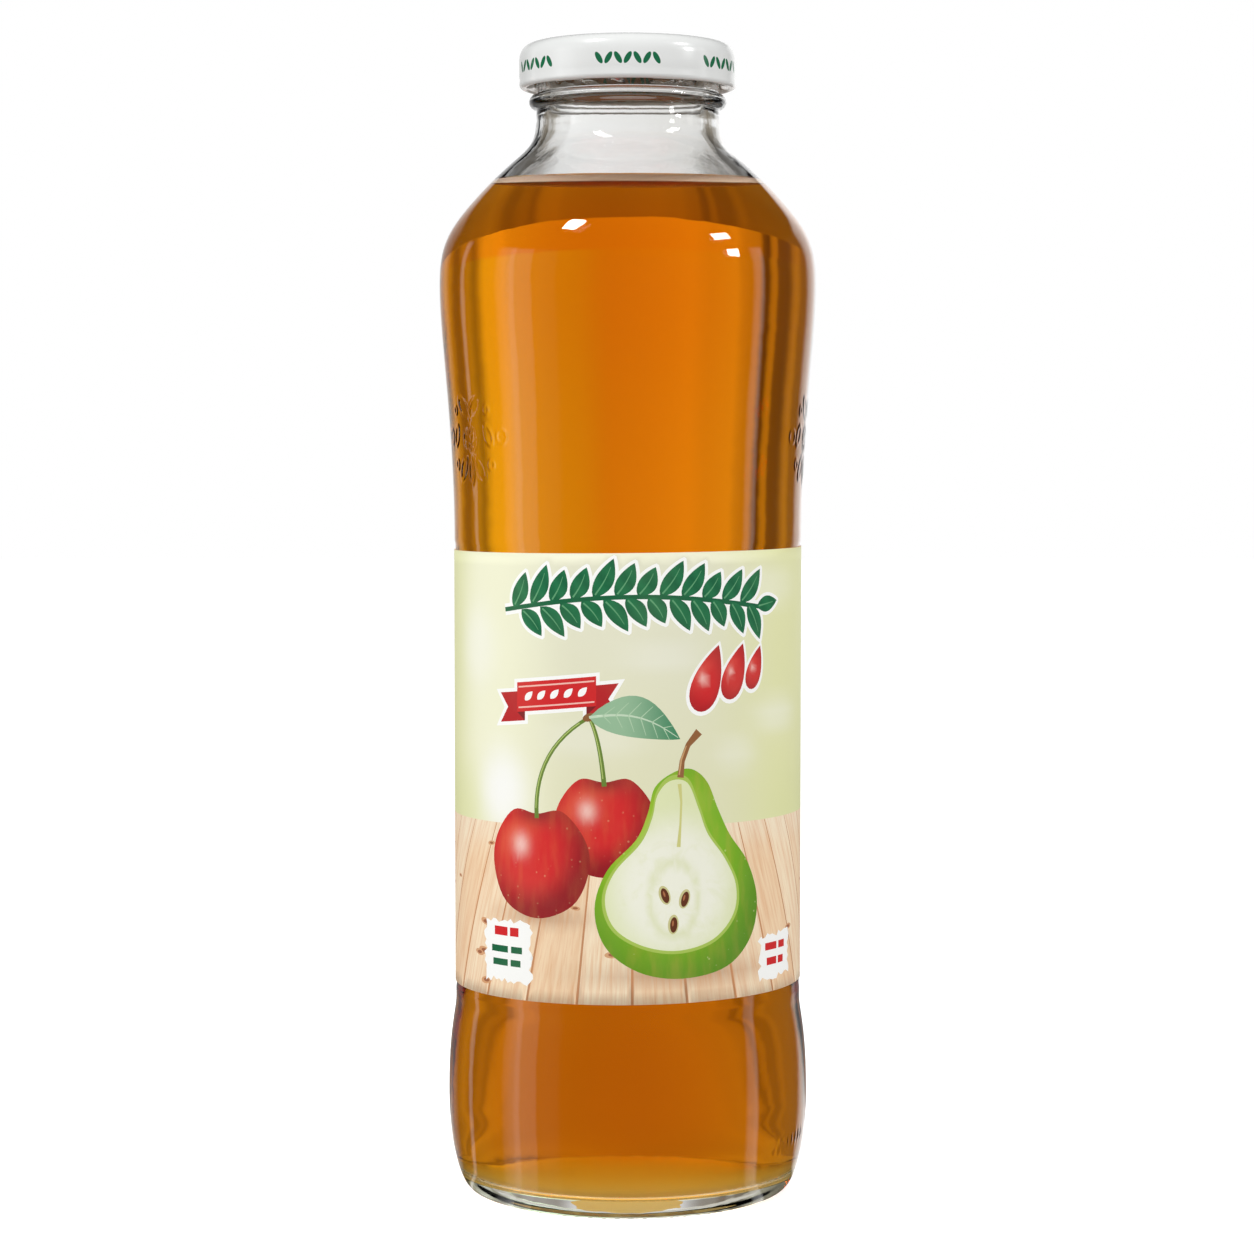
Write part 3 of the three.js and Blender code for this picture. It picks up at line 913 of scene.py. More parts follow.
def drop_line(centre, size, lean, grow=0.0):
    """A drop of juice that leans by an angle in degrees."""
    t = np.linspace(0, 2 * math.pi, 30, endpoint=False)
    x = (0.36 * size + grow) * np.sin(t) * np.sin(t / 2) ** 0.9
    return laid(x, (0.62 * size + grow) * np.cos(t), centre, math.radians(lean))


def draw_accents(sheet):
    """Three red drops on the right and a folded red ribbon on the left."""
    drops = (((18.5, 121.2), 12.5), ((25.6, 122.4), 10.5), ((31.6, 123.0), 8.2))
    for centre, size in drops:
        sheet.draw(drop_line(centre, size, -20, 0.9), WHITE)
    for centre, size in drops:
        shade = ball_paint((centre[0], centre[1] - size * 0.16), (size * 0.36, size * 0.5),
                           linear(176, 14, 26), RED, linear(236, 84, 70), linear(255, 214, 204))
        sheet.draw(drop_line(centre, size, -20), shade, (0, 0, 0), (0.7, 0.42))

    def slanted(points):
        return [(u, v + 0.09 * (u + 17)) for u, v in points]

    tails = ([(-31.5, 112.6), (-24.3, 112.6), (-24.3, 119.2), (-31.5, 119.2), (-29.2, 115.9)],
             [(-9.2, 112.6), (-2.0, 112.6), (-4.3, 115.9), (-2.0, 119.2), (-9.2, 119.2)])
    folds = ([(-26.5, 114.6), (-24.3, 112.6), (-24.3, 114.6)],
             [(-7.0, 114.6), (-9.2, 114.6), (-9.2, 112.6)])
    outer_tails = ([(-32.9, 111.8), (-23.5, 111.8), (-23.5, 120.0), (-32.9, 120.0), (-30.3, 115.9)],
                   [(-10.0, 111.8), (-0.6, 111.8), (-3.2, 115.9), (-0.6, 120.0), (-10.0, 120.0)])
    edges = (box(-27.3, 113.8, -6.2, 122.0), *outer_tails)
    for shapes, ink in ((edges, WHITE), (tails, linear(186, 18, 30)), (folds, linear(128, 10, 24))):
        for shape in shapes:
            sheet.draw(slanted(shape), ink)
    sheet.draw(slanted(box(-26.5, 114.6, -7.0, 121.2)), RED)
    for height in (115.4, 120.0):
        sheet.draw(slanted(box(-26.1, height, -7.4, height + 0.35)), linear(244, 190, 178))
    for k in range(5):
        spot = slanted([(-23.4 + 3.3 * k, 117.9)])[0]
        sheet.draw(leaf_line((spot[0] - 0.9, spot[1] - 0.9), 45, 2.9, 1.5), WHITE)


def draw_fruit(sheet):
    """Two red cherries on their stems, with a leaf, behind half a green pear."""

    def cherry(middle, size):
        skin = ball_paint(middle, (size, size * 0.98), linear(150, 12, 26), linear(216, 30, 34),
                          linear(240, 104, 66), linear(255, 226, 216))

        def paint(places):
            u, v = places[:, 0] - middle[0], places[:, 1] - middle[1] - size * 0.9
            dip = (u / (size * 0.42)) ** 2 + (v / (size * 0.22)) ** 2
            return blended(skin(places), linear(116, 8, 26), 0.75 * np.exp(-dip))
        return paint

    joint = (-8.6, 113.0)
    form = ((0, 0.88), (-0.5, 0.93), (-0.92, 0.45), (-1, -0.1), (-0.7, -0.72), (0, -0.98), (0.7, -0.72),
            (1, -0.1), (0.92, 0.45), (0.5, 0.93))
    for middle, size in (((-5.2, 88.6), 11.4), ((-21.2, 80.2), 12.6)):
        u, v = middle
        outline = rounded([(u + across * size, v + up * size) for across, up in form])
        sheet.draw(outline, cherry(middle, size), (0, 0.35, 0),
                   (0.95, 0.88, 0.8, 0.72, 0.63, 0.54, 0.45, 0.36, 0.27, 0.18, 0.09))
        t = np.linspace(0, 1, 14)[:, None]
        foot = np.array((u, v + 0.8 * size))
        bow = np.array((u - 1.0, (foot[1] + joint[1]) / 2 + 3.5))
        stem = (1 - t) ** 2 * foot + 2 * (1 - t) * t * bow + t ** 2 * np.array(joint)
        sheet.draw(stroke_line(stem, np.linspace(1.1, 0.8, 14)), linear(104, 132, 48))
        sheet.draw(stroke_line(stem[1:-1] + (-0.15, 0.0), [0.25] * 12), linear(176, 196, 110))
    sheet.draw(oval_line(joint, 1.5, 0.9, 0.3, 16), linear(140, 92, 50))
    turn, length, bend = -14, 21.0, 2.6
    outline = leaf_line(joint, turn, length, 9.2, bend, 15)

    def leaf_colour(places):
        t = (places[:, 0] - joint[0]) / length
        return blended(linear(150, 188, 152), linear(66, 138, 98), smooth(0.3, 1.0, t))

    def on_leaf(t, off):
        return laid(t * length, bend * np.sin(math.pi * t) + off, joint, math.radians(turn))

    sheet.draw(outline, leaf_colour)
    t = np.linspace(0, 0.97, 10)
    sheet.draw(stroke_line(on_leaf(t, 0), np.linspace(0.6, 0.15, 10)), linear(196, 218, 190))
    for k in range(6):
        start = 0.14 + 0.13 * k
        for side in (-1, 1):
            reach = np.linspace(0, 1, 4)
            vein = on_leaf(start + reach * 0.1, side * reach * 3.4 * math.sin(math.pi * (start + 0.05)))
            sheet.draw(stroke_line(vein, [0.24, 0.2, 0.16, 0.1]), linear(176, 206, 172))
    # Half pear, leaning to the right, its cut side towards the viewer and its skin below and to the right
    pear = rounded([(10.2, 100.6), (6.0, 97.4), (4.4, 91.6), (1.8, 85.8), (-4.6, 79.0), (-7.4, 70.6),
                    (-5.0, 62.0), (2.4, 56.4), (12.4, 54.6), (23.6, 56.6), (30.6, 62.8), (32.4, 71.0),
                    (29.4, 79.4), (24.2, 86.0), (21.0, 92.0), (18.2, 98.2), (14.4, 101.2)])
    cut = rounded([(9.4, 99.8), (6.4, 96.6), (5.2, 91.4), (2.6, 85.6), (-3.4, 79.0), (-5.8, 72.4),
                   (-3.6, 65.8), (3.0, 61.6), (11.6, 60.2), (20.4, 62.4), (26.0, 68.0), (26.6, 74.6),
                   (23.4, 81.0), (18.8, 87.0), (16.4, 93.0), (13.6, 99.2)])
    green = ball_paint((14, 74), (22, 26), linear(88, 142, 8), linear(128, 184, 22), linear(178, 212, 62),
                       linear(220, 232, 140))
    sheet.draw(pear, green, (0, 0.6, 0), (0.93, 0.86))

    def flesh(places):
        u, v = places[:, 0], places[:, 1]
        away = np.hypot((u - 10.5) / 15.5, (v - 75) / 17)
        colour = blended(linear(243, 243, 226), linear(226, 232, 184), smooth(0.55, 1.15, away))
        core = np.exp(-(((np.hypot((u - 10.4) / 5.6, (v - 72.5) / 8.2) - 1) / 0.13) ** 2))
        return blended(colour, linear(214, 220, 160), 0.5 * core)

    sheet.draw(cut, linear(170, 198, 84))
    inner = shrunk(cut, 0.955, (10.4, 76))
    sheet.draw(inner, flesh, (0, 0, 1), (0.9, 0.8, 0.68, 0.56, 0.44, 0.32, 0.2, 0.1))
    sheet.draw(stroke_line([(11.4, 84), (11.8, 89), (12.0, 94), (11.6, 98)], [0.9, 0.5, 0.5, 0.9]),
               linear(208, 206, 130))
    for u, v, lean in ((8.2, 73.4, 1.9), (12.8, 72.4, 1.3), (10.2, 66.8, 1.5)):
        sheet.draw(oval_line((u, v), 2.2, 1.25, lean, 20), linear(206, 200, 142))
        sheet.draw(oval_line((u + 0.1, v - 0.1), 1.75, 0.85, lean, 18), linear(104, 50, 24))
        sheet.draw(oval_line((u - 0.1, v + 0.25), 0.7, 0.22, lean, 10), linear(176, 110, 70))
    sheet.draw(stroke_line([(11.8, 99.4), (12.2, 103), (13.6, 106.6), (16.2, 109.4)],
                           [1.5, 1.2, 1.2, 1.9]), linear(150, 98, 56))
    sheet.draw(stroke_line([(11.5, 100), (12.0, 103.4), (13.2, 106.4)], [0.3, 0.4, 0.2]),
               linear(206, 160, 110))


def torn_line(low, high, wobble, seed):
    """A rectangle with ragged brushed edges."""
    rng = np.random.default_rng(seed)
    (x0, y0), (x1, y1) = low, high
    points = []
    for a, b in (((x0, y0), (x1, y0)), ((x1, y0), (x1, y1)), ((x1, y1), (x0, y1)), ((x0, y1), (x0, y0))):
        a, b = np.array(a, float), np.array(b, float)
        count = max(6, int(np.linalg.norm(b - a) / 0.9))
        out = np.array([b[1] - a[1], a[0] - b[0]]) / np.linalg.norm(b - a)
        for k in range(count):
            points.append(a + (b - a) * k / count + out * wobble * rng.uniform(-0.8, 1.0))
    return np.array(points)


def draw_badges(sheet):
    """Two white ragged patches near the foot of the front, each with plain printed bars."""
    left_bars = ((63.2, 2.0, 7.5, RED), (59.4, 1.5, 9.5, GREEN), (56.4, 1.5, 8.6, GREEN))
    right_bars = ((58.6, 1.7, 8.2, RED), (55.2, 1.7, 7.0, RED))
    for low, high, seed, bars in (((-37.0, 53.2), (-23.0, 66.4), 4, left_bars),
                                  ((33.5, 52.4), (45.5, 62.0), 9, right_bars)):
        sheet.draw(torn_line(low, high, 0.8, seed), WHITE)
        middle = (low[0] + high[0]) / 2
        for height, thick, length, ink in bars:
            left, right = middle - length / 2, middle + length / 2
            for a, b in ((left, left + length * 0.56), (left + length * 0.66, right)):
                sheet.draw(box(a, height, b, height + thick), ink)


def draw_joints(sheet):
    """Dark joints between the planks, and a few knots."""
    for k in range(-9, 10):
        across = k * PLANK_WIDTH
        v = np.linspace(LABEL_BOTTOM, TABLE_LINE, 8)
        u = VANISHING[0] + across * (VANISHING[1] - v) / (VANISHING[1] - LABEL_BOTTOM)
        if abs(u[0]) > PLANK_REACH:
            continue
        line = stroke_line(np.stack([u, v], 1), np.linspace(0.62, 0.22, 8))
        line[:, 1] = np.clip(line[:, 1], LABEL_BOTTOM, TABLE_LINE)
        sheet.draw(line, linear(196, 138, 98), (1, 0, 0))
    rng = np.random.default_rng(21)
    for _ in range(16):
        v = rng.uniform(52, 84)
        u = rng.uniform(-60, 60)
        size = rng.uniform(0.5, 1.1) * (1.3 if v < 66 else 0.8)
        sheet.draw(oval_line((u, v), size * 1.5, size * 0.62, rng.uniform(-0.3, 0.3), 18),
                   linear(216, 164, 122), (1, 0, 0))
        sheet.draw(oval_line((u, v), size * 0.8, size * 0.32, 0, 14), linear(164, 100, 66))


def draw_sides(sheet):
    """The back of the label: plain panels with greeked lines, a small table and thin frames."""
    pale, ink = linear(243, 244, 222), linear(70, 118, 84)
    for left, right in ((66, 118), (-118, -66)):
        sheet.draw(box(left, 54.0, right, 143.5), ink)
        sheet.draw(box(left + 0.4, 54.4, right - 0.4, 143.1), pale)
    rng = np.random.default_rng(5)

    def words(left, right, height, thick, colour=GREY_INK):
        u = left
        while u < right - 2:
            length = min(rng.uniform(2.0, 7.0), right - u)
            sheet.draw(box(u, height, u + length, height + thick), colour)
            u += length + 1.0

    for left, right in ((70, 114), (-114, -70)):
        words(left, left + 26, 136.5, 2.2, GREEN)
        for row in range(9):
            words(left, right if row % 4 != 3 else left + 24, 131.5 - row * 2.9, 1.0)
    for row in range(9):
        height = 98.5 - row * 4.1
        sheet.draw(box(70, height, 114, height + 0.25), ink)
        words(71, 71 + (20 if row % 2 else 26), height + 1.1, 1.1)
        words(103, 110, height + 1.1, 1.1)
    for u, colour in ((-106, GREEN), (-92, RED), (-78, linear(132, 172, 24))):
        sheet.draw(oval_line((u, 90), 5.4, 5.4, 0, 30), colour)
        sheet.draw(oval_line((u, 90), 4.9, 4.9, 0, 30), pale)
        sheet.draw(leaf_line((u - 2.6, 87.4), 46, 7.4, 3.4), colour)
    for row in range(6):
        words(-114, -70 if row % 3 != 2 else -92, 79 - row * 2.9, 1.0)


def printed(left, right):
    """The printed shapes of the whole label."""
    sheet = Sheet()
    sheet.draw(box(left, LABEL_BOTTOM, right, LABEL_TOP), ground_paint)
    sheet.draw(box(left, LABEL_BOTTOM, right, TABLE_LINE), wood_paint, (1, 0, 0))
    for draw in (draw_joints, draw_sides, draw_sprig, draw_accents, draw_fruit, draw_badges):
        draw(sheet)
    return sheet


def triangulated(points, edges):
    out = geometry.delaunay_2d_cdt([Vector(p) for p in points], edges, [], 0, 1e-5)
    return np.array([v[:] for v in out[0]]), [tuple(f) for f in out[2]]


def print_mesh(left, right):
    """The flat print as triangles whose edges follow every printed shape, with the region of each."""
    regions = printed(left, right)
    points, edges = [], []

    def add_line(line, closed):
        first = len(points)
        points.extend(line)
        count = len(line)
        edges.extend((first + i, first + (i + 1) % count) for i in range(count if closed else count - 1))

    for region in regions:
        add_line(region.outline, True)
        for factor in region.inner_rings:
            add_line(shrunk(region.outline, factor), True)
    columns = np.linspace(left, right, PRINT_COLUMNS)
    for u in columns[1:-1]:
        add_line(np.array([(u, LABEL_BOTTOM), (u, LABEL_TOP)]), False)
    for v in np.linspace(LABEL_BOTTOM, LABEL_TOP, PRINT_ROWS)[1:-1]:
        points.extend([(u, v) for u in columns if abs(u) < PRINT_FRONT])
    # More points where the fruit's shadows fade on the planks
    for v in (52, 54, 55.5, 57, 58.5, 60, 66, 67.5, 69, 70.5, 72):
        points.extend([(u, v) for u in np.arange(-38, 40, 1.8)])
    places, faces = triangulated(points, edges)
    middles = np.array([places[list(f)].mean(0) for f in faces])
    owner = np.zeros(len(faces), int)
    for number, region in enumerate(regions):
        owner[region.contains(middles)] = number
    return places, np.array(faces), owner, regions


def label_place(flat, lift, skew):
    """Bends a point of the print round the bottle, lifted off by a thickness."""
    u, v = flat[:, 0], flat[:, 1]
    lap = smooth(LAP_START, LAP_START + LAP_RAMP, u) * LAP_LIFT
    radius = LABEL_RADIUS - LABEL_PAPER + lift + lap
    angle = u / LABEL_RADIUS - math.pi / 2
    x = radius * np.cos(angle)
    return np.stack([x, radius * np.sin(angle), v + skew * x], 1) * MM


def label_rim(flat, left, right):
    """The print's points round its rim, from the lower left corner on and to the right."""
    rim = []
    for axis, value, way in ((1, LABEL_BOTTOM, 1), (0, right, 1), (1, LABEL_TOP, -1), (0, left, -1)):
        side = np.nonzero(np.abs(flat[:, axis] - value) < 1e-4)[0]
        rim += list(side[np.argsort(way * flat[side, 1 - axis])])[:-1]
    return rim


def label_back(flat, rim, columns, first):
    """Faces of the back of the paper and of its edges. The back's points are numbered from first."""
    count = len(rim)
    ring = [(i, (i + 1) % count) for i in range(count)]
    where = {(round(flat[i, 0], 3), flat[i, 1] > 100): n for n, i in enumerate(rim)}
    ends = [((round(u, 3), False), (round(u, 3), True)) for u in columns]
    struts = [(where[low], where[high]) for low, high in ends if low in where and high in where]
    places, triangles = triangulated([flat[i] for i in rim], ring + struts)
    if len(places) != count:
        raise RuntimeError("the back of the label doesn't match its front")
    order = [int(np.argmin(np.hypot(*(flat[rim] - place).T))) for place in places]
    back = []
    for triangle in triangles:
        a, b, c = (places[i] for i in triangle)
        corners = [first + order[i] for i in triangle]
        back.append(corners[::-1] if np.cross(b - a, c - a) > 0 else corners)
    edges = []
    for i, j in ring:
        edges += [(rim[j], rim[i], first + i), (rim[j], first + i, first + j)]
    return back, edges


def make_label(skew, material):
    """The label as a closed sheet, with its colours, its textures and its flat coordinates."""
    left, right = -HALF_ROUND, HALF_ROUND + LABEL_LAP
    flat, faces, owner, regions = print_mesh(left, right)
    a, b, c = flat[faces].transpose(1, 0, 2)
    turned_over = np.cross(b - a, c - a) < 0
    faces[turned_over] = faces[turned_over][:, ::-1]
    rim = label_rim(flat, left, right)
    whole = np.concatenate([flat, flat[rim]])
    vertices = np.concatenate([label_place(flat, LABEL_PAPER, skew), label_place(flat[rim], 0.0, skew)])
    back, edges = label_back(flat, rim, np.linspace(left, right, PRINT_COLUMNS)[1:-1], len(flat))
    every = [tuple(f) for f in (*faces, *back, *edges)]
    piece = add_object("label_printed", vertices, every, material)
    mesh = piece.data
    if len(mesh.polygons) != len(every):
        raise RuntimeError("the label has doubled faces")
    mesh.polygons.foreach_set("use_smooth", np.arange(len(every)) < len(faces) + len(back))
    colours = np.tile(np.append(linear(214, 214, 204), 1.0), (len(mesh.loops), 1))
    texture = np.zeros((len(mesh.loops), 3))
    corners = faces.ravel()
    owners = np.repeat(owner, 3)
    for number, region in enumerate(regions):
        mine = np.nonzero(owners == number)[0]
        if len(mine):
            colours[mine, :3] = region.paint(flat[corners[mine]])
            texture[mine] = region.texture
    ink = mesh.color_attributes.new("print", "FLOAT_COLOR", "CORNER")
    ink.data.foreach_set("color", colours.ravel())
    set_values(mesh, "texture", "FLOAT_VECTOR", "CORNER", "vector", texture)
    used = np.array([i for face in every for i in face])
    unrolled = (whole - np.array([left, LABEL_BOTTOM])) / (right - left)
    unrolled[len(flat):, 1] += 0.5
    planks = np.stack([plank_across(whole), whole[:, 1]], 1)
    for name, places in (("unrolled", unrolled), ("planks", planks)):
        mesh.uv_layers.new(name=name).data.foreach_set("uv", places[used].ravel())
    mesh.uv_layers.active = mesh.uv_layers["unrolled"]
    return piece


# Cap

def cap_outline():
    """The sheet of the cap, round its section: top, skirt, rolled edge and back up inside."""
    def top(inset):
        edge = CAP_BUTTON[0] + CAP_BUTTON_EDGE
        line = [
            (CAP_BUTTON[0], CAP_BUTTON[1] - inset), (CAP_BUTTON[0] + 0.25, CAP_BUTTON[1] - 0.03 - inset),
            (edge - 0.25, CAP_PANEL[1] + 0.03 - inset), (edge, CAP_PANEL[1] - inset),
            (CAP_PANEL[0] - 0.2, CAP_PANEL[1] - inset), (CAP_PANEL[0] + 0.1, CAP_PANEL[1] + 0.08 - inset),
            (CAP_RIM_INNER - 0.3, CAP_TOP - 0.12 - inset), (CAP_RIM_INNER + 0.1, CAP_TOP - inset),
        ]
        rounding = parabola((CAP_RADIUS - CAP_ROUNDING, CAP_TOP - inset),
                            (CAP_RADIUS - inset, CAP_TOP - inset),
                            (CAP_RADIUS - inset, CAP_TOP - CAP_ROUNDING), 12)
        return np.concatenate([[(0, CAP_BUTTON[1] - inset), (4, CAP_BUTTON[1] - inset)], line, rounding])

    curl = arc((CAP_RADIUS - CURL_RADIUS, CURL_HEIGHT), CURL_RADIUS, 0, -180, 12)
    inner_foot = [(CAP_RADIUS - CURL_RADIUS * 2, CURL_HEIGHT + 0.3),
                  (CAP_RADIUS - CURL_RADIUS * 1.4, CURL_HEIGHT + CURL_RADIUS),
                  (CAP_RADIUS - CAP_SHEET, CURL_HEIGHT + CURL_RADIUS * 1.3)]
    skirt = np.array([(CAP_RADIUS, 259.0), (CAP_RADIUS - 0.03, 257.2), (CAP_RADIUS - 0.14, 256.5)])
    return np.concatenate([top(0), skirt, curl, inner_foot, top(CAP_SHEET)[::-1]])


def cap_tree(material):
    """The turned sheet of the cap with its lugs, which are short bowed bars."""
    tree = Tree("Lug cap", {
        "Facets": ("Int", 144), "Lug count": ("Int", LUGS), "Lug spacing": ("Float", 2 * math.pi / LUGS),
        "First lug": ("Float", 0.0), "Lug radius": ("Float", 0.0225), "Lug height": ("Float", 0.2552),
        "Lug span": ("Float", 17.0), "Lug size": ("Vector", (0.0011, 0.0006, 1.0))})
    shell = lathe(tree)
    bow = tree.add("GeometryNodeCurveArc", {"mode": "RADIUS"}, {
        "Resolution": 12, "Radius": "Lug radius", "Start Angle": 0.0,
        "Sweep Angle": tree.math("RADIANS", "Lug span")})
    section = tree.add("GeometryNodeTransform", None, {"Geometry": ring_of(tree, 12), "Scale": "Lug size"})
    lug = tree.add("GeometryNodeCurveToMesh", None, {
        "Curve": bow.outputs[0], "Profile Curve": section.outputs[0], "Fill Caps": True})
    soft = tree.add("GeometryNodeSetShadeSmooth", None, {0: lug.outputs[0]})
    facing = tree.vector(Z=tree.turns("Lug spacing", "First lug"))
    lugs = tree.copies("Lug count", tree.vector(Z="Lug height"), soft.outputs[0], facing)
    return tree.close(tree.join(shell, lugs), material)


# Settings that a user would change

class BottleSizes(bpy.types.PropertyGroup):
    fill_height: bpy.props.FloatProperty(
        name="Fill level", description="Height of the drink above the base", default=0.2266,
        unit="LENGTH", subtype="DISTANCE")
    label_skew: bpy.props.FloatProperty(
        name="Label skew", description="How far the label rises for each metre to the right",
        default=0.0094)
    knurls: bpy.props.IntProperty(
        name="Knurls", description="Small ribs round the ring that the bottle stands on", default=73)
    cap_facets: bpy.props.IntProperty(
        name="Cap facets", description="Facets round the cap", default=144)


class BottleColours(bpy.types.PropertyGroup):
    juice_passes: bpy.props.FloatVectorProperty(
        name="Juice", description="Colour that passes through the drink", subtype="COLOR", size=3,
        default=(0.962, 0.758, 0.0))
    juice_strength: bpy.props.FloatProperty(
        name="Juice strength", description="How fast the drink takes light away, for each metre",
        default=93.0)
    cap_white: bpy.props.FloatVectorProperty(
        name="Cap", description="Colour of the enamel of the cap", subtype="COLOR", size=3,
        default=(0.76, 0.77, 0.76))


class StudioSettings(bpy.types.PropertyGroup):
    lens: bpy.props.FloatProperty(
        name="Lens", description="Focal length of the camera on a 36 mm sensor", default=90.98,
        unit="CAMERA")
    pitch: bpy.props.FloatProperty(
        name="Pitch", description="How far the camera looks down", default=math.radians(3.312),
        subtype="ANGLE")
    key: bpy.props.FloatProperty(
        name="Front light", description="Power of the lights in front, in watts", default=6.0,
        subtype="POWER")
    soft: bpy.props.FloatProperty(
        name="Soft light", description="Power of the soft light on the left, in watts", default=4.2,
        subtype="POWER")


def sizes():
    return bpy.context.scene.juice_bottle_sizes


def colours():
    return bpy.context.scene.juice_bottle_colours


def settle(piece, node=None):
    """Attaches a finished piece to what carries it, the root, and hides the node of the model that it
    stands for.
    """
    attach(piece, "root")
    if node:
        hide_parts(node)


class MakeGlass(bpy.types.Operator):
    """Makes the bottle and the small ribs moulded on it"""
    bl_idname = "juice_bottle.glass"
    bl_label = "Glass"

    def execute(self, context):
        material = glass_material()
        angles, bearings = glass_angles()
        level = sizes().fill_height / MM
        rings, first_inside = glass_rings(bearings, level)
        vertices, faces = turned_grid(rings, angles)
        bottle = add_object("bottle_moulded", vertices * MM, faces, material)
        for other in (wet_glass_material(), stippled_glass_material()):
            bottle.data.materials.append(other)
        first, second, third = (vertices[[face[k] for face in faces]] for k in range(3))
        radii = np.hypot(*((first + third) / 2)[:, :2].T)
        heights = ((first + third) / 2)[:, 2]
        downwards = np.cross(second - first, third - first)[:, 2] < 0
        ring = np.arange(len(faces)) // len(angles)
        wet = (ring >= first_inside) & (heights < level + MENISCUS)
        under = (ring < first_inside) & downwards & (heights < PUNT_HEIGHT + 0.1) & (radii < RING_OUTER)
        bottle.data.polygons.foreach_set("material_index", (wet + 2 * under).astype(np.int32))
        require_solid(bottle)
        settle(bottle, "bottle_glass")
        count, tall = sizes().knurls, (KNURL_HEIGHT - 0.01) * MM
        knurls = grown("base_knurls", bpy.data.meshes.new("ribs"), ribs_tree(material), {
            "Count": count, "Radius": KNURL_RADIUS * MM, "Height": tall, "First angle": 0.0,
            "Spacing": 2 * math.pi / count, "Rib size": (KNURL_LENGTH * MM, KNURL_WIDTH * MM, tall)})
        settle(knurls)
        return {"FINISHED"}


class MakeJuice(bpy.types.Operator):
    """Makes the drink, which reaches just into the glass so that no air shows between them"""
    bl_idname = "juice_bottle.juice"
    bl_label = "Juice"

    def execute(self, context):
        level = sizes().fill_height / MM
        outline = inside_outline(-JUICE_OVERLAP, (30, 14, 30, 22, 26))
        top = level + MENISCUS
        # The sides follow the wall up to the edge of the surface, with one last point close below it
        edge, below = np.interp((top, top - 0.06), outline[:, 1], outline[:, 0])
        inwards, rise = meniscus()
        surface = np.stack([edge - inwards, level + rise], 1)
        outline = np.concatenate([outline[outline[:, 1] < top - 0.3], [(below, top - 0.06)], surface,
                                  [(edge * 0.5, level), (0, level)]])
        facets = 160
        tree = Tree("Turned drink", {"Facets": ("Int", facets)})
        group = tree.close(lathe(tree), juice_material(colours()))
        drink = grown("juice_fill", outline_curve("drink_outline", outline), group, {"Facets": facets})
        require_solid(drink)
        radii, heights = np.array([(f.center.xy.length, f.center.z) for f in drink.data.polygons]).T / MM
        wall = inside_outline(0)
        clear = np.interp(heights, wall[:, 1], wall[:, 0]) - 0.02
        opening = (heights > level - 0.1) & (radii < clear)
        climbed = (heights - level) / MENISCUS
        film = opening * (0.5 * smooth(0.04, 0.15, climbed) + 0.5 * smooth(0.54, 0.66, climbed))
        for name, values in (("surface", opening.astype(float)), ("film", film)):
            set_values(drink.data, name, "FLOAT", "FACE", "value", values)
        settle(drink, "juice")
        return {"FINISHED"}


class MakeLabel(bpy.types.Operator):
    """Makes the printed paper label, wrapped round the bottle with its lap at the back"""
    bl_idname = "juice_bottle.label"
    bl_label = "Label"

    def execute(self, context):
        piece = make_label(sizes().label_skew, paper_material())
        require_solid(piece)
        settle(piece, "label")
        return {"FINISHED"}


class MakeCap(bpy.types.Operator):
    """Makes the enamelled cap with its rolled edge and lugs"""
    bl_idname = "juice_bottle.cap"
    bl_label = "Cap"

    def execute(self, context):
        group = cap_tree(enamel_material(colours()))
        half_lug = math.radians(8.5)
        cap = grown("twist_cap", outline_curve("cap_outline", cap_outline()), group, {
            "Facets": sizes().cap_facets, "First lug": FIRST_LUG - math.pi / 2 - half_lug})
        settle(cap, "cap")
        return {"FINISHED"}


# Studio

def area_light(name, place, size, power, target=(0, 0, 0.12)):
    """A rectangular light that faces the bottle."""
    light = bpy.data.lights.new(name, "AREA")
    light.shape = "RECTANGLE"
    light.size, light.size_y = size
    light.energy = power
    lamp = bpy.data.objects.new(name, light)
    lamp.location = place
    lamp.rotation_euler = (Vector(target) - Vector(place)).to_track_quat("-Z", "Y").to_euler()
    bpy.context.scene.collection.objects.link(lamp)
    return lamp


# Brightness of the studio by bearing in degrees, 0 straight behind the bottle and plus to the right: first
# as it is seen through the glass, then as the glass mirrors it
THROUGH = (
    (-180, 0.5), (-60, 0.36), (-42.6, 0.37), (-39.8, 0.62), (-37, 0.5), (-34.4, 0.2), (-29.6, 0.22),
    (-27.4, 0.8), (-25.8, 0.18), (-24.2, 0.11), (-22.9, 0.66), (-18.8, 0.77), (-17, 1.0), (-12.6, 0.97),
    (-9.6, 1.07), (-2, 0.97), (4.5, 0.9), (11, 0.92), (16, 0.98), (19, 1.0), (21.5, 1.2), (27.4, 1.1),
    (29.4, 0.62), (31, 0.42), (33.8, 0.64), (36.8, 0.62), (40, 0.34), (44, 0.4), (48, 0.8), (53, 1.04),
    (61, 0.8), (80, 0.55))
MIRRORED = (
    (-180, 0.01), (-138, 0.01), (-135, 0.13), (-126, 0.15), (-121, 0.1), (-119.5, 0.76), (-108, 0.76),
    (-106.8, 1.5), (-103.6, 1.4), (-102, 0.9), (-99, 0.68), (-94, 0.35), (-91, 0.02), (-63, 0.01),
    (-61.5, 0.85), (-58.5, 0.85), (-57, 0.01), (-40, 0.01), (-33, 0.25), (-20, 0.5), (5, 1.1), (16, 1.35),
    (34, 0.9), (40, 0.05), (87.8, 0.01), (89.5, 1.4), (93, 1.1), (97.5, 0.8), (99, 0.01), (180, 0.01))
BRIGHTEST, WARMTH = 1.5, 0.32
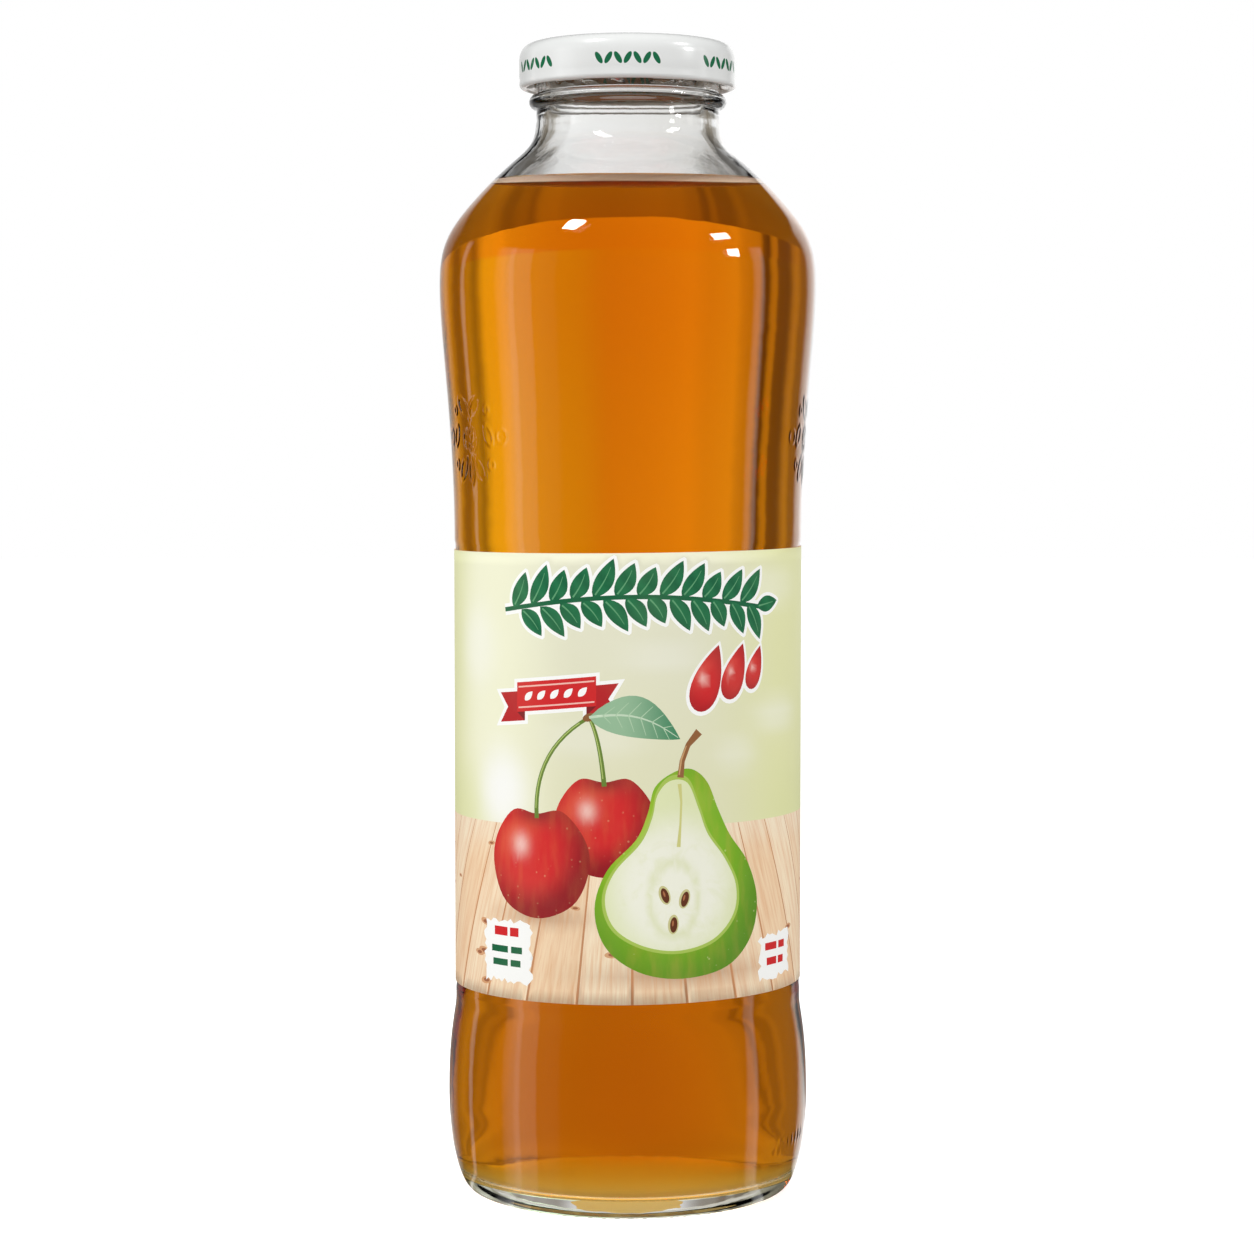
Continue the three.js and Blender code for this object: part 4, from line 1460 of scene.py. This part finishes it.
# Even light on paper and enamel, from above and from the floor; how brightly the camera sees the floor
FILL, FLOOR_FILL, FLOOR_GLOW = 0.6, 0.67, 0.62
# By how high a direction points, as the sine of its angle: where the ceiling starts, where dark curtains on
# both sides start, and where the mirrored strips end
CEILING, SIDE_CURTAINS, STRIP_TOP = (0.14, 0.47), (0.085, 0.15), (0.32, 0.38)
CURTAIN_BEARING, CURTAIN_COLOUR = (0.028, 0.05), (0.24, 0.205, 0.155)
# Light that comes through the drink is greener than its plain colour makes it, the more so on the right
JUICE_TINT, RIGHT_TINT, RIGHT_START, RIGHT_END = (1, 1.06, 1), (1, 1.18, 1), (0.006, 0.022), (0.085, 0.11)
# Table: how bright it is near the bottle and far off, where that changes, and where it ends
TABLE_NEAR, TABLE_FAR, TABLE_FALL, TABLE_EDGE = 0.66, 0.48, (0.3, 0.65), (1.28, 1.33)
# Light that the bottle gathers on the table under it reaches from its axis to between these radii
LIGHT_POOL, POOL_COLOUR, POOL_STRENGTH = (0.029, 0.034), (1.0, 0.5, 0.06), 0.8
# How the bands spread on the table, where a bearing is that of a place and not of a direction, how far they
# fade there, how bright the glass mirrors the table behind it, and up to which bearing
TABLE_SPREAD, TABLE_FADE, TABLE_BEHIND, BEHIND_BEARING = 2.1, 0.45, 0.22, (0.09, 0.12)
MIRROR_RADIUS = 0.042
# Lamps: name, place, size, and share of the front light's power
LAMPS = (("high_left", (-0.53, -0.52, 1.17), (0.16, 0.26), 1.0),
         ("high_right", (0.912, -0.425, 0.9), (0.24, 0.15), 0.5),
         ("low_right", (1.025, -0.434, 0.55), (0.15, 0.12), 0.4))
SOFT_PLACE, SOFT_SIZE, SOFT_TARGET = (-1.1, -0.55, 0.5), (0.8, 0.8), (0, 0, 0.13)
CAMERA_PLACE, SENSOR_WIDTH, FLOOR_REACH = (-0.00017, -0.7353, 0.17315), 36.0, 4.0
RAYS = ("Is Camera Ray", "Is Diffuse Ray", "Is Reflection Ray")


def shares(*colour):
    """A colour as shares of the brightest light. One number stands for a grey."""
    return [share / BRIGHTEST for share in colour * (3 // len(colour))]


def bands(shader, turn, stops, warmth=0.0):
    """Light by bearing, as a share of a whole turn. What is dim in it is warmer than what is bright."""
    def tone(value):
        dim = warmth * max(0.0, 1 - value)
        return shares(value, value * (1 - 0.4 * dim), value * (1 - dim))

    settings = {"stops": [(degrees / 360 + 0.5, tone(value)) for degrees, value in stops]}
    return shader.node("ValToRGB", settings, {0: turn + 0.5})


def bearing_of(x, y):
    """Bearing as a share of a whole turn, 0 behind the bottle."""
    return x.of("ARCTAN2", y) / (2 * math.pi)


def mirrored_bearing(x, y, turn):
    """The bearing in which the camera sees a place on the table mirrored by the side of the bottle. It is
    nearer to the front than the place's own bearing, as the light leaves the glass at its side and not at
    its axis."""
    away = (x * x + y * y) ** 0.5
    side = turn.of("SIGN")
    from_front = (0.5 - turn.of("ABSOLUTE")) * (2 * math.pi)
    share = (MIRROR_RADIUS / away).of("MINIMUM", 0.9)
    widened = from_front + share * (from_front / 2).of("SINE")
    widened = from_front + share * (widened / 2).of("SINE")
    return side * (0.5 - widened / (2 * math.pi))


def ray_kinds(shader, *names):
    """What is known of the ray of light, such as whether it starts at the camera."""
    paths = shader.node("LightPath").socket.node.outputs
    return [Value(shader, paths[name]) for name in names]


def studio_world():
    """White to the camera; to the glass, the surroundings; to paper and enamel, an even fill."""
    shader = Shader("studio", world=True)
    x, y, z = shader.parts(shader.node("TexCoord", output=0))
    turn = bearing_of(x, y)
    through, mirrored = bands(shader, turn, THROUGH, WARMTH), bands(shader, turn, MIRRORED)
    camera, diffuse, reflected, sides_crossed = ray_kinds(shader, *RAYS, "Transparent Depth")
    in_juice = sides_crossed > 0.5
    on_right = turn.step(*RIGHT_START) * (1 - turn.step(*RIGHT_END))
    through = shader.mix(in_juice, through, JUICE_TINT, "MULTIPLY")
    through = shader.mix(in_juice * on_right, through, RIGHT_TINT, "MULTIPLY")
    aside = z.step(*SIDE_CURTAINS) * turn.of("ABSOLUTE").step(*CURTAIN_BEARING) * (1 - in_juice)
    through = shader.mix(aside * 0.8, through, shares(*CURTAIN_COLOUR))
    through = shader.mix(z.step(*CEILING) * 0.65, through, (0, 0, 0))
    mirrored = shader.mix(z.step(*STRIP_TOP), mirrored, (0.01, 0.01, 0.01))
    colour = shader.mix(reflected, through, mirrored)
    colour = shader.mix(diffuse, colour, shares(FILL))
    colour = shader.mix(camera, colour, shares(1))
    lit = shader.node("Background", None, {"Color": colour, "Strength": BRIGHTEST})
    bpy.context.scene.world = shader.finish(lit)


def floor_material():
    """Pale floor: nearly white to the camera. The glass sees a table that is bright behind the bottle and
    ends at an edge, with the backdrop beyond it."""
    shader = Shader("studio_floor")
    matte = shader.simple("BsdfDiffuse", (0.8, 0.8, 0.8))
    glow = shader.simple("Emission", Strength=FLOOR_GLOW)
    lit = shader.node("AddShader", None, {0: matte, 1: glow})
    x, y, _ = shader.parts(shader.place())
    beyond = y.step(*TABLE_EDGE)
    turn = bearing_of(x, y)
    through = bands(shader, turn * (TABLE_SPREAD - (TABLE_SPREAD - 1) * beyond), THROUGH, WARMTH)
    mirrored = bands(shader, mirrored_bearing(x, y, turn), MIRRORED)
    camera, diffuse, reflected = ray_kinds(shader, *RAYS)
    through = shader.mix(TABLE_FADE - TABLE_FADE * beyond, through, shares(1))
    behind = (1 - turn.of("ABSOLUTE").step(*BEHIND_BEARING)) * (1 - beyond)
    mirrored = shader.mix(behind, mirrored, shares(TABLE_BEHIND))
    colour = shader.mix(reflected, through, mirrored)
    table = TABLE_NEAR - y.step(*TABLE_FALL) * (TABLE_NEAR - TABLE_FAR)
    dimmed = (table + (1 - table) * beyond) * (1 - reflected) + reflected
    pool = (1 - ((x * x + y * y) ** 0.5).step(*LIGHT_POOL)) * (1 - reflected)
    colour = shader.mix(pool, colour, shares(*POOL_COLOUR))
    shade = shader.simple("Emission", colour, Strength=(dimmed + pool * POOL_STRENGTH) * BRIGHTEST)
    shade = shader.cover(diffuse, shade, shader.simple("Emission", Strength=FLOOR_FILL))
    return shader.finish(shader.cover(camera, shade, lit))


class MakeStudio(bpy.types.Operator):
    """Makes the floor, the lights and the camera"""
    bl_idname = "juice_bottle.studio"
    bl_label = "Studio"

    def execute(self, context):
        settings = context.scene.juice_bottle_studio
        studio_world()
        corners = [(x, y, 0) for x, y in box(-FLOOR_REACH, -FLOOR_REACH, FLOOR_REACH, FLOOR_REACH)]
        floor = add_object("studio_floor", corners, [(0, 1, 2, 3)], floor_material(), False)
        for name, place, size, share in LAMPS:
            area_light(name, place, size, settings.key * share)
        soft = area_light("soft_left", SOFT_PLACE, SOFT_SIZE, settings.soft, SOFT_TARGET)
        soft.visible_glossy = False
        soft.visible_transmission = False
        camera = bpy.data.cameras.new("camera")
        camera.lens = settings.lens
        camera.sensor_width = SENSOR_WIDTH
        camera.clip_end = 20.0
        viewer = bpy.data.objects.new("camera", camera)
        viewer.location = CAMERA_PLACE
        viewer.rotation_euler = (math.pi / 2 - settings.pitch, 0, 0)
        context.scene.collection.objects.link(viewer)
        context.scene.camera = viewer
        context.scene.view_settings.view_transform = "Standard"
        return {"FINISHED"}


class BottlePanel(bpy.types.Panel):
    bl_idname = "VIEW3D_PT_juice_bottle"
    bl_label = "Juice Bottle"
    bl_space_type = "VIEW_3D"
    bl_region_type = "UI"
    bl_category = "Juice Bottle"

    def draw(self, context):
        for group in (getattr(context.scene, name) for name in GROUPS):
            for name in group.__annotations__:
                self.layout.prop(group, name)
        for step in STEPS:
            self.layout.operator(step.bl_idname)


GROUPS = {"juice_bottle_sizes": BottleSizes, "juice_bottle_colours": BottleColours,
          "juice_bottle_studio": StudioSettings}
STEPS = (MakeStudio, MakeGlass, MakeJuice, MakeLabel, MakeCap)


def register():
    for group in GROUPS.values():
        bpy.utils.register_class(group)
    for name, group in GROUPS.items():
        setattr(bpy.types.Scene, name, bpy.props.PointerProperty(type=group))
    for step in STEPS:
        bpy.utils.register_class(step)
    bpy.utils.register_class(BottlePanel)


def unregister():
    bpy.utils.unregister_class(BottlePanel)
    for step in reversed(STEPS):
        bpy.utils.unregister_class(step)
    for name in GROUPS:
        delattr(bpy.types.Scene, name)
    for group in GROUPS.values():
        bpy.utils.unregister_class(group)


def main():
    register()
    for step in STEPS:
        getattr(bpy.ops.juice_bottle, step.bl_idname.split(".")[1])()


if __name__ == "__main__":
    main()
